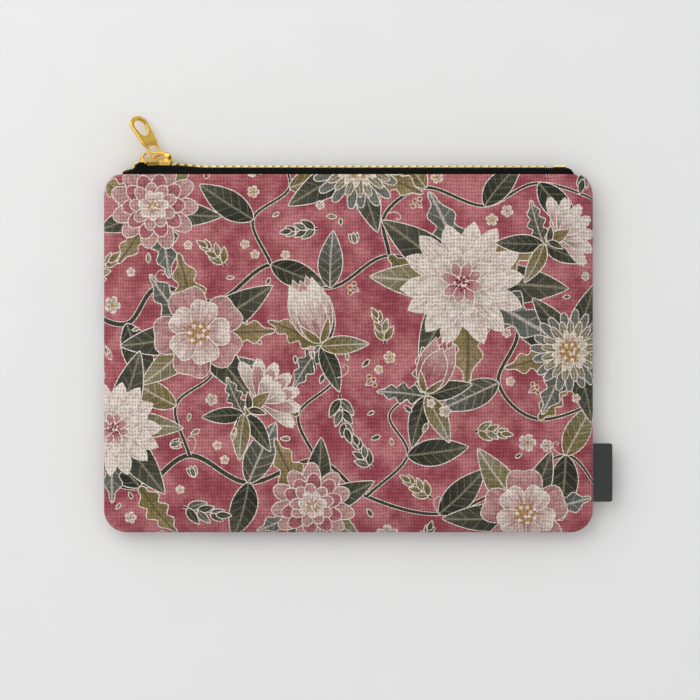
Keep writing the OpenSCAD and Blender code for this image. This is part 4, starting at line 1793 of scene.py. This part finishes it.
@dataclass(frozen=True)
class ZipForm:
    """The zip's path along the mouth, with the sizes of its CAD solids."""

    pouch: PouchForm = field(default_factory=PouchForm)
    rise: float = 2.7
    lift: float = 1.5
    closed_drop: float = 1.9
    open_drop: float = 0.6
    tape_end: float = 99.5
    slider_x: float = -84.9
    slider_length: float = 14.6
    slider_near: float = 6.0
    narrow_from: float = 3.0
    narrow_run: float = 6.0
    lift_lead: float = 2.0
    lift_run: float = 16.0
    closed_run: float = 9.0
    open_run: float = 3.0
    tilt: float = math.radians(14.0)
    part: float = 1.6
    part_start: float = 0.5
    part_end: float = 5.5
    close_from: float = 3.0
    close_run: float = 8.0
    close_share: float = 0.6
    tooth_reach: float = 2.7
    nose_half: float = 5.3
    tail_half: float = 3.75
    flange_from: float = -3.8
    seam_allow: float = 3.0
    canvas_thick: float = 0.8
    layer_gap: float = 0.2
    corner_slack: float = 1.2
    tape_thick: float = 0.5

    def near_slider(self, x: float) -> float:
        """How much the slider lifts and leans the zip.

        Args:
            x: Place along the zip.

        Returns:
            The share, from 0 to 1.
        """
        nose, tail = self.slider_x - self.slider_length / 2, self.slider_x + self.slider_length / 2
        if x < nose:
            end = self.tape_end + self.lift_lead
            return float(ease((x + end) / (nose + end)))
        return float(1 - ease((x - tail) / self.lift_run))

    def line(self, x: float) -> float:
        """Height of the zip's middle line.

        Args:
            x: Place along the zip.

        Returns:
            Its place along +Y.
        """
        run, drop = (self.closed_run, self.closed_drop) if x < 0 else (self.open_run, self.open_drop)
        drop *= float(ease((abs(x) - self.tape_end + run) / run))
        return self.pouch.mouth_y + self.rise + self.lift * self.near_slider(x) - drop

    def lean(self, x: float) -> float:
        """Lean of the zip towards the front at place x, in radians."""
        return self.tilt * self.near_slider(x)

    def row_gap(self, x: float) -> float:
        """Distance of each row of teeth from the zip's middle.

        Args:
            x: Place along the zip.

        Returns:
            The distance, which is 0 where the rows mesh.
        """
        ahead = self.slider_x - x
        if ahead < self.part_start:
            return 0.0
        if ahead < self.part_end:
            return self.part * float(ease((ahead - self.part_start) / (self.part_end - self.part_start)))
        closing = float(ease((ahead - self.part_end - self.close_from) / self.close_run))
        return self.part * (1 - self.close_share * closing)

    def slider_half(self, x: float) -> float:
        """Half width of the slider.

        Args:
            x: Place along the zip.

        Returns:
            The half width, or 0 away from the slider.
        """
        half = self.slider_length / 2
        if abs(x - self.slider_x) > half + self.slider_near:
            return 0.0
        narrowing = float(ease((x - self.slider_x + half - self.narrow_from) / self.narrow_run))
        return self.tail_half + (self.nose_half - self.tail_half) * (1 - narrowing)

    def under_canvas(self, x: float, y: float, side: Side) -> float:
        """Distance of the tape from the seam plane where it is sewn under the canvas.

        Args:
            x: Place along the zip.
            y: Place up the pouch.
            side: The half of the pouch.

        Returns:
            The distance.
        """
        pouch = self.pouch
        s = (y - pouch.bottom_y - self.seam_allow) / (pouch.height - self.seam_allow)
        m = min(1.0, (abs(x) + self.corner_slack) / float(pouch.half_width(np.float64(y), self.seam_allow)))
        h = float(pouch.bulge(np.float64(m), np.float64(s), side))
        set_in = h - self.canvas_thick * min(1.0, h / (2 * self.canvas_thick))
        return pouch.seam_gap + set_in - self.layer_gap - self.tape_thick / 2

    def turn(self, x: float, side: Side) -> Matrix:
        """The direction of a tooth: +X along the zip, +Y out of it and +Z across it.

        Args:
            x: Place along the zip.
            side: The half of the pouch.

        Returns:
            The turn from the frame's own directions.
        """
        step = 0.5
        climb = math.atan2(self.line(x + step) - self.line(x - step), 2 * step)
        spread = math.atan2(self.row_gap(x + step) - self.row_gap(x - step), 2 * step)
        flip = Matrix.Rotation(0 if side is Side.FRONT else math.pi, 4, "X")
        return (
            Matrix.Rotation(climb, 4, "Z") @ Matrix.Rotation(self.lean(x), 4, "X")
            @ Matrix.Rotation(-side.value * spread, 4, "Y") @ flip
        )

    def tooth_place(self, x: float, side: Side) -> Vector:
        """Where a tooth's middle plane stands at place x."""
        across = Matrix.Rotation(self.lean(x), 4, "X") @ Vector((0, 0, side.value * self.row_gap(x)))
        return Vector((x, self.line(x), self.pouch.seam_height)) + across


@dataclass(frozen=True)
class ZipTape:
    """A woven tape: sewn under the canvas, folded over at the mouth and gripped by the teeth."""

    form: ZipForm = field(default_factory=ZipForm)
    sewn: float = 8.0
    puff: float = 2.4
    puff_lead: float = 4.3
    puff_run: float = 2.6
    flange_lead: float = 1.8
    flange_run: float = 1.6
    grip: float = 1.1
    tooth_room: float = 1.0
    slider_room: float = 0.55
    front_drop: float = 1.2
    back_drop: float = 1.0
    back_dip: float = 2.2
    spacing: float = 0.9
    finer: int = 4
    end_round: float = 3.2
    end_sink: float = 2.1

    def line(self, x: float, side: Side) -> Array:
        """The tape's line across the zip at place x.

        Args:
            x: Place along the zip.
            side: The half of the pouch.

        Returns:
            Rows of distance beyond the mouth and distance from the seam plane, from the sewn edge inwards.
        """
        form = self.form
        mouth = form.pouch.mouth_y
        t = min(1.0, max(0.0, (x - form.tape_end + self.end_round) / self.end_round))
        top = form.line(x) - mouth - self.end_sink * (1 - math.sqrt(1 - 0.98 * t * t))
        inner = form.row_gap(x) + self.grip
        lean = side.value * form.lean(x)
        sewn = form.under_canvas(x, mouth - 0.2, side)
        beside = form.slider_half(x) * form.near_slider(x)
        past_teeth = form.row_gap(x) + form.tooth_reach + self.tooth_room
        leg = max(sewn, past_teeth, beside + form.tape_thick / 2 + self.slider_room)
        front = side is Side.FRONT
        drop = self.front_drop if front else self.back_drop + self.back_dip * min(1.0, beside / form.tail_half)
        flat = np.array([
            (-drop, leg), (-0.3, leg - 0.3), (-0.05, leg - 0.7), (0, leg - 1), (0, inner + 0.8), (0, inner),
        ])
        full = np.array([
            (-drop, leg + 0.3), (self.puff - 0.5, leg + 0.5), (self.puff, leg + 0.15),
            (self.puff * 0.4, leg - 0.15), (0, leg - 0.6), (0, inner),
        ])
        start = ease((x + form.tape_end - self.puff_lead) / self.puff_run)
        end = ease((x - form.slider_x - form.flange_from + self.flange_lead) / self.flange_run)
        puff = float(start * (1 - end)) if front else 0.0
        across = flat * (1 - puff) + full * puff
        c, s = math.cos(lean), math.sin(lean)
        out, up = across[:, 0], across[:, 1]
        turned = np.stack([top + out * c - up * s, out * s + up * c], axis=1)
        under = [(-back, form.under_canvas(x, mouth - back, side)) for back in (self.sewn, self.sewn / 2, 0.2)]
        line = np.array([*under, (0.35, sewn), *turned])
        return through(line, [self.finer] * (len(line) - 1))

    def build(self, name: str, side: Side, finish: Finish) -> tuple[Piece, tuple[float, float]]:
        """Sweeps the tape along the zip.

        Args:
            name: The piece's name.
            side: The half of the pouch.
            finish: Its weave.

        Returns:
            The tape, and its flat width and length.
        """
        form = self.form
        count = int(2 * form.tape_end / self.spacing)
        stations = np.linspace(-form.tape_end, form.tape_end, count + 1)
        lines = np.stack([self.line(float(x), side) for x in stations])
        ring = band(lines, form.tape_thick)
        points = np.stack([
            np.broadcast_to(stations[:, None], ring.shape[:2]),
            form.pouch.mouth_y + ring[..., 0],
            form.pouch.seam_height + side.value * ring[..., 1],
        ], axis=-1).reshape(-1, 3)
        faces = swept(*ring.shape[:2])
        piece = new_piece(name, points, (faces if side is Side.BACK else faces[:, ::-1]).tolist())
        piece.data.materials.append(finish)
        steps = np.linalg.norm(np.diff(lines, axis=1), axis=2)
        along = np.concatenate([np.zeros((len(lines), 1)), np.cumsum(steps, axis=1)], axis=1)
        across = np.concatenate([along, along[:, ::-1]], axis=1)
        set_uv(piece, "Cloth", np.stack([points[:, 0], across.ravel()], axis=1) * MM)
        return piece, (2 * form.tape_end, float(along[:, -1].mean()))


@dataclass(frozen=True)
class ZipTeeth:
    """The two rows of metal teeth: one tooth stood on each point of a row by a node tree."""

    form: ZipForm = field(default_factory=ZipForm)
    first: float = -95.0
    pitch: float = 3.53
    count: int = 52
    width: float = 2.1
    height: float = 2.7
    reach: float = 2.7
    slant: float = 0.45

    def tree(self) -> bpy.types.NodeTree:
        """Builds the tree that stands teeth on points.

        Returns:
            The tree, with inputs for the tooth, its three sizes and its finish.
        """
        tree = bpy.data.node_groups.new("teeth_on_points", "GeometryNodeTree")
        for label, kind in (
            ("Points", "NodeSocketGeometry"), ("Tooth", "NodeSocketObject"), ("Tooth Width", "NodeSocketFloat"),
            ("Tooth Height", "NodeSocketFloat"), ("Tooth Reach", "NodeSocketFloat"), ("Finish", "NodeSocketMaterial"),
        ):
            tree.interface.new_socket(label, in_out="INPUT", socket_type=kind)
        tree.interface.new_socket("Teeth", in_out="OUTPUT", socket_type="NodeSocketGeometry")
        net = NodeNet(tree)
        given, result = tree.nodes.new("NodeGroupInput").outputs, tree.nodes.new("NodeGroupOutput")
        turn = net.node("GeometryNodeInputNamedAttribute", {"Name": "turn"}, "Attribute", data_type="FLOAT_VECTOR")
        sizes = {0: given["Tooth Width"], 1: given["Tooth Height"], 2: given["Tooth Reach"]}
        stood = net.node("GeometryNodeInstanceOnPoints", {
            "Points": given["Points"],
            "Instance": net.node("GeometryNodeObjectInfo", {"Object": given["Tooth"]}, "Geometry"),
            "Rotation": turn,
            "Scale": net.node("ShaderNodeCombineXYZ", sizes),
        })
        real = net.node("GeometryNodeRealizeInstances", {"Geometry": stood})
        painted = net.node("GeometryNodeSetMaterial", {"Geometry": real, "Material": given["Finish"]})
        net.put(result.inputs["Teeth"], painted)
        return tree

    def tooth(self) -> Piece:
        """Makes one tooth of unit size: a clip round the tape's edge, with a head that hooks the other row.

        Returns:
            The tooth, which the node tree stands on each point.
        """
        profile = np.array([
            (0.5, 0.92), (0.46, 1.0), (0.17, 1.0), (0.16, 0.34), (-0.16, 0.34), (-0.17, 1.0), (-0.46, 1.0),
            (-0.5, 0.92), (-0.5, 0.36), (-0.42, 0.26), (-0.42, -0.12), (-0.34, -0.26), (0.34, -0.26),
            (0.42, -0.12), (0.42, 0.26), (0.5, 0.36),
        ])
        count = len(profile)
        heights, halves = (-0.26, -0.12, 0.26, 0.36, 0.88, 1.0), (0.26, 0.36, 0.37, 0.5, 0.5, 0.46)
        widths = np.interp(profile[:, 1], heights, halves)
        points = np.array([
            (turn * wide + self.slant * y, y, z) for turn in (-1, 1) for wide, (y, z) in zip(widths, profile)
        ])
        sides = [(k, (k + 1) % count, (k + 1) % count + count, k + count) for k in range(count)]
        caps = [(0, 1, 2, 3, 14, 15), (3, 4, 9, 10, 13, 14), (4, 5, 6, 7, 8, 9), (10, 11, 12, 13)]
        faces = sides + [tuple(reversed(cap)) for cap in caps] + [tuple(k + count for k in cap) for cap in caps]
        piece = new_piece("tooth_shape", points / MM, faces)
        shape = bmesh.new()
        shape.from_mesh(piece.data)
        bmesh.ops.recalc_face_normals(shape, faces=shape.faces)
        shape.to_mesh(piece.data)
        shape.free()
        piece.data.shade_flat()
        return piece

    def build(self, name: str, side: Side, tree: bpy.types.NodeTree, tooth: Piece, finish: Finish) -> Piece:
        """Makes one row.

        Args:
            name: The piece's name.
            side: The half of the pouch that carries it.
            tree: The node tree.
            tooth: The tooth's shape.
            finish: Its metal.

        Returns:
            The row as one plain mesh.
        """
        start = self.first + (0 if side is Side.FRONT else self.pitch / 2)
        places = [start + k * self.pitch for k in range(self.count)]
        row = new_piece(name + "_points", np.array([self.form.tooth_place(x, side) for x in places]), [])
        turns = [tuple(self.form.turn(x, side).to_euler()) for x in places]
        layer = row.data.attributes.new("turn", "FLOAT_VECTOR", "POINT")
        layer.data.foreach_set("vector", np.array(turns, np.float32).ravel())
        modifier = row.modifiers.new("teeth", "NODES")
        modifier.node_group = tree
        values = {
            "Tooth": tooth, "Tooth Width": self.width * MM, "Tooth Height": self.height * MM,
            "Tooth Reach": self.reach * MM, "Finish": finish,
        }
        for socket in tree.interface.items_tree:
            if socket.in_out == "INPUT" and socket.name in values:
                modifier[socket.identifier] = values[socket.name]
        return baked(row, name)


@dataclass(frozen=True)
class CastMetal:
    """A rigid metal piece: its CAD solid, with its edges rounded as by casting and plating."""

    name: str
    node: str
    grain: float
    passes: int = 10
    shift: tuple[float, float, float] = (0.0, 0.0, 0.0)
    widening: float = 1.0
    widen_from: float = 4.5
    widen_run: float = 4.0
    hinge: tuple[float, float, float] = (-84.316, 87.275, 8.416)
    weld: float = 1e-6

    def build(self, finish: Finish) -> Piece:
        """Copies the solid's mesh and rounds it.

        Args:
            finish: Its metal.

        Returns:
            The piece.
        """
        shape = bmesh.new()
        shape.from_mesh(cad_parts[self.node].data)
        bmesh.ops.remove_doubles(shape, verts=shape.verts, dist=self.weld)
        solid = bpy.data.meshes.new(self.node + "_copy")
        shape.to_mesh(solid)
        shape.free()
        rough = linked(self.node + "_copy", solid)
        remesh = rough.modifiers.new("cast", "REMESH")
        remesh.mode, remesh.voxel_size = "VOXEL", self.grain * MM
        polish = rough.modifiers.new("polish", "SMOOTH")
        polish.factor, polish.iterations = 0.5, self.passes
        piece = baked(rough, self.name)
        self._formed(piece.data)
        piece.data.materials.clear()
        piece.data.materials.append(finish)
        piece.data.shade_smooth()
        return piece

    def _formed(self, mesh: bpy.types.Mesh) -> None:
        """Moves the mesh by the shift, and widens it away from its hinge.

        Args:
            mesh: The rounded mesh.
        """
        points = coordinates(mesh) / MM
        middle = points.mean(axis=0)
        _, _, (length, width, _) = np.linalg.svd(points - middle, full_matrices=False)
        far = np.abs((points - np.array(self.hinge)) @ length)
        across = (points - middle) @ width
        grown = (self.widening - 1) * across * ease((far - self.widen_from) / self.widen_run)
        points = points + grown[:, None] * width + np.array(self.shift)
        mesh.vertices.foreach_set("co", (points * MM).astype(np.float32).ravel())
        mesh.update()


@dataclass(frozen=True)
class SideLabel:
    """A ribbon folded in two, with both ends caught in the side seam."""

    seam_x: float = 108.15
    low_y: float = -65.5
    length: float = 25.8
    reach: float = 8.5
    thick: float = 0.36
    fold: float = 0.24
    height: float = 7.4
    corner: float = 1.0
    droop: float = 0.25
    wave: float = 2.4
    wave_start: float = 0.4
    stations: int = 40
    end_share: float = 0.35

    @property
    def flat(self) -> tuple[float, float]:
        """Width and length of the ribbon before it is folded."""
        return self.length, 2 * self.reach - self.fold * (4 - math.pi)

    def build(self, name: str, finish: Finish) -> Piece:
        """Sweeps the folded ribbon along the seam.

        Args:
            name: The piece's name.
            finish: Its weave.

        Returns:
            The label.
        """
        straight = self.reach - self.fold - self.thick / 2
        bend = np.linspace(-math.pi / 2, math.pi / 2, 9)
        steps = np.linspace(0, straight, 12)[:-1]
        line = np.concatenate([
            np.stack([steps, np.full_like(steps, -self.fold)], axis=1),
            np.stack([straight + self.fold * np.cos(bend), self.fold * np.sin(bend)], axis=1),
            np.stack([steps[::-1], np.full_like(steps, self.fold)], axis=1),
        ])
        ring = band(line, self.thick, -1)
        places = np.linspace(0, 1, self.stations + 1)
        places = (1 - np.cos(math.pi * places)) / 2 * self.end_share + places * (1 - self.end_share)
        rows = []
        for t in places:
            near = min(t, 1 - t) * self.length
            shrink = self.corner * (1 - math.sqrt(max(0.0, 1 - max(0.0, 1 - near / self.corner) ** 2)))
            wave = self.droop * math.sin(self.wave * t + self.wave_start)
            x = self.seam_x + ring[:, 0] * (1 - shrink / self.reach)
            y = np.full(len(ring), self.low_y + self.length * t)
            z = ring[:, 1] + wave * (ring[:, 0] / self.reach) ** 2
            rows.append(np.stack([x, y, self.height + z], axis=1))
        points = np.concatenate(rows)
        faces = swept(len(rows), len(ring))[:, FLIPPED]
        piece = new_piece(name, points, faces.tolist())
        piece.data.materials.append(finish)
        steps = np.concatenate([[0], np.cumsum(np.linalg.norm(np.diff(line, axis=0), axis=1))])
        across = np.concatenate([steps, steps[::-1]])
        set_uv(piece, "Cloth", np.stack([np.tile(across, len(places)), points[:, 1]], axis=1) * MM)
        return piece


@dataclass(frozen=True)
class Studio:
    """The pale floor, the soft light from the upper left and the camera over the pouch."""

    view_width: float = 0.3094
    centre: tuple[float, float] = (0.000685, 0.00155)
    seam_height: float = 0.0074
    distance: float = 1.8
    sensor: float = 36.0
    sky: float = 0.62
    key_power: float = 9.4
    key_size: float = 1.5
    key_place: tuple[float, float, float] = (-0.75, 0.75, 1.0)
    dark: float = 0.1
    bright: float = 1.5
    dark_from: float = -0.1
    bright_to: float = 0.95
    floor_half: float = 2500.0
    floor_grain: float = 40.0

    def build(self) -> None:
        """Makes the floor, the lights and the camera."""
        scene = bpy.context.scene
        scene.view_settings.view_transform = "Standard"
        self._floor()
        scene.world = self._sky()
        lamp = bpy.data.lights.new("key", "AREA")
        lamp.energy, lamp.size = self.key_power, self.key_size
        key = linked("key", lamp)
        key.location = self.key_place
        key.rotation_euler = (-Vector(self.key_place)).to_track_quat("-Z", "Y").to_euler()
        camera = bpy.data.cameras.new("camera")
        camera.sensor_width = self.sensor
        camera.lens = self.sensor * self.distance / self.view_width
        eye = linked("camera", camera)
        eye.location = (*self.centre, self.distance + self.seam_height)
        scene.camera = eye

    def _sky(self) -> bpy.types.World:
        """Makes an even sky, which metal sees as a room that is bright towards the key light and dark behind.

        Returns:
            The world.
        """
        world = bpy.data.worlds.new("studio")
        world.use_nodes = True
        net = NodeNet(world.node_tree)
        even, output = net.tree.nodes["Background"], net.tree.nodes["World Output"]
        net.put(even.inputs["Color"], (1.0, 1.0, 1.0))
        net.put(even.inputs["Strength"], self.sky)
        faced = {0: net.node("ShaderNodeTexCoord", {}, "Generated"), 1: Vector(self.key_place).normalized()}
        climb = net.node("ShaderNodeMapRange", {
            "Value": net.node("ShaderNodeVectorMath", faced, "Value", operation="DOT_PRODUCT"),
            "From Min": self.dark_from, "From Max": self.bright_to, "To Min": self.dark, "To Max": self.bright,
        }, "Result", interpolation_type="SMOOTHSTEP")
        room = net.node("ShaderNodeBackground", {"Strength": climb})
        glossy = net.node("ShaderNodeLightPath", {}, "Is Glossy Ray")
        both = net.node("ShaderNodeMixShader", {0: glossy, 1: even.outputs["Background"], 2: room})
        net.put(output.inputs["Surface"], both)
        return world

    def _floor(self) -> None:
        """Makes the pale paper that the pouch lies on."""
        half = self.floor_half
        corners = np.array([(-half, -half, 0), (half, -half, 0), (half, half, 0), (-half, half, 0)])
        floor = new_piece("floor", corners, [(0, 1, 2, 3)])
        sheet = NodeSheet("floor_paper")
        fine = sheet.noise(sheet.place(), self.floor_grain)
        sheet.shade(Base_Color=sheet.mix(fine, srgb(245, 246, 245), srgb(248, 249, 248)), Roughness=0.9)
        floor.data.materials.append(sheet.material)


CANVAS_REVERSE = WovenCloth("canvas_reverse", srgb(206, 190, 176), srgb(226, 212, 198), 1.35, 1.62, 0.0002)
LINING_COTTON = WovenCloth("lining_cotton", srgb(30, 29, 29), srgb(44, 42, 41), 0.5, 0.5, 0.0001)
TAPE_WEAVE = WovenCloth("tape_weave", srgb(9, 9, 8), srgb(33, 32, 27), 0.9, 0.7, 0.00015, 0.8, 0.0, 0.08)
LABEL_SATIN = WovenCloth("label_satin", srgb(52, 53, 53), srgb(66, 67, 67), 0.3, 0.5, 0.00005, 0.6)
TEETH_GOLD = GoldMetal("teeth_gold", srgb(252, 234, 172), srgb(236, 208, 138), 0.3, painted_shade=0.36)
SLIDER_GOLD = GoldMetal("slider_gold", srgb(250, 212, 112), srgb(236, 186, 78), 0.16, 500.0)


def settle(piece: Piece, body: str, slot: str, *nodes: str) -> None:
    """Puts a finished piece on its body, in place of its CAD nodes, which are hidden.

    Args:
        piece: The piece.
        body: The CAD body that it moves with.
        slot: The record's material slot; not used.
        nodes: The CAD nodes that it stands for.
    """
    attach(piece, body)
    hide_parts(*nodes)
    LOG.info("%s: %d faces on %s", piece.name, len(piece.data.polygons), body)


def main() -> None:
    """Builds the pouch's pieces in order and reports each one."""
    logging.basicConfig(level=logging.INFO, format="%(name)s: %(message)s")
    Studio().build()
    surface = PouchSurface()
    surface.relief = FilledCloth().settle(surface.form)

    lining = LINING_COTTON.make()
    for side, name, node in (
        (Side.FRONT, "front_lining_cloth", "front_lining"), (Side.BACK, "back_lining_cloth", "back_lining"),
    ):
        piece = Lining().build(name, surface, side, lining)
        settle(piece, "pouch", "lining_cloth", node)

    weave = TAPE_WEAVE.make()
    for side, name, node in ((Side.FRONT, "front_tape", "front_zip_tape"), (Side.BACK, "back_tape", "back_zip_tape")):
        piece, (length, width) = ZipTape().build(name, side, weave)
        settle(piece, "pouch", "zip_tape", node)

    canvas, reverse = PrintedCanvas().make(), CANVAS_REVERSE.make()
    for side, name, node, lining_name, seed in (
        (Side.FRONT, "front_canvas", "front_panel", "front_lining_cloth", 7),
        (Side.BACK, "back_canvas", "back_panel", "back_lining_cloth", 11),
    ):
        panel = CanvasPanel(surface, side)
        design = PrintDesign(seed, panel.flat[0] / 2, panel.flat[1] / 2)
        paint_floral(design)
        piece = panel.build(name, design, canvas, reverse)
        settle(piece, "pouch", "printed_canvas", node)

    metal = TEETH_GOLD.make()
    teeth = ZipTeeth()
    tree, tooth = teeth.tree(), teeth.tooth()
    rows = [
        (teeth.build(name, side, tree, tooth, metal), node)
        for side, name, node in ((Side.FRONT, "front_row", "front_teeth"), (Side.BACK, "back_row", "back_teeth"))
    ]
    bpy.data.objects.remove(tooth)
    for piece, node in rows:
        settle(piece, "pouch", "zip_metal", node)
    sunk = (0.0, -1.1, 0.0)
    for part in (
        CastMetal("front_stop", "front_top_stop", 0.12, 6, sunk),
        CastMetal("back_stop", "back_top_stop", 0.12, 6, sunk),
        CastMetal("end_bar", "bottom_stop", 0.14, 8),
    ):
        settle(part.build(metal), "pouch", "zip_metal", part.node)
    gold = SLIDER_GOLD.make()
    for part, body in (
        (CastMetal("slider_cast", "slider_body", 0.14, 8), "slider"),
        (CastMetal("tab_cast", "pull_tab", 0.14, 8, widening=1.2), "tab"),
    ):
        settle(part.build(gold), body, "slider_metal", part.node)

    label = SideLabel()
    piece = label.build("label_ribbon_fold", LABEL_SATIN.make())
    settle(piece, "pouch", "label_ribbon", "side_label")
    width, length = label.flat


if __name__ == "__main__":
    main()
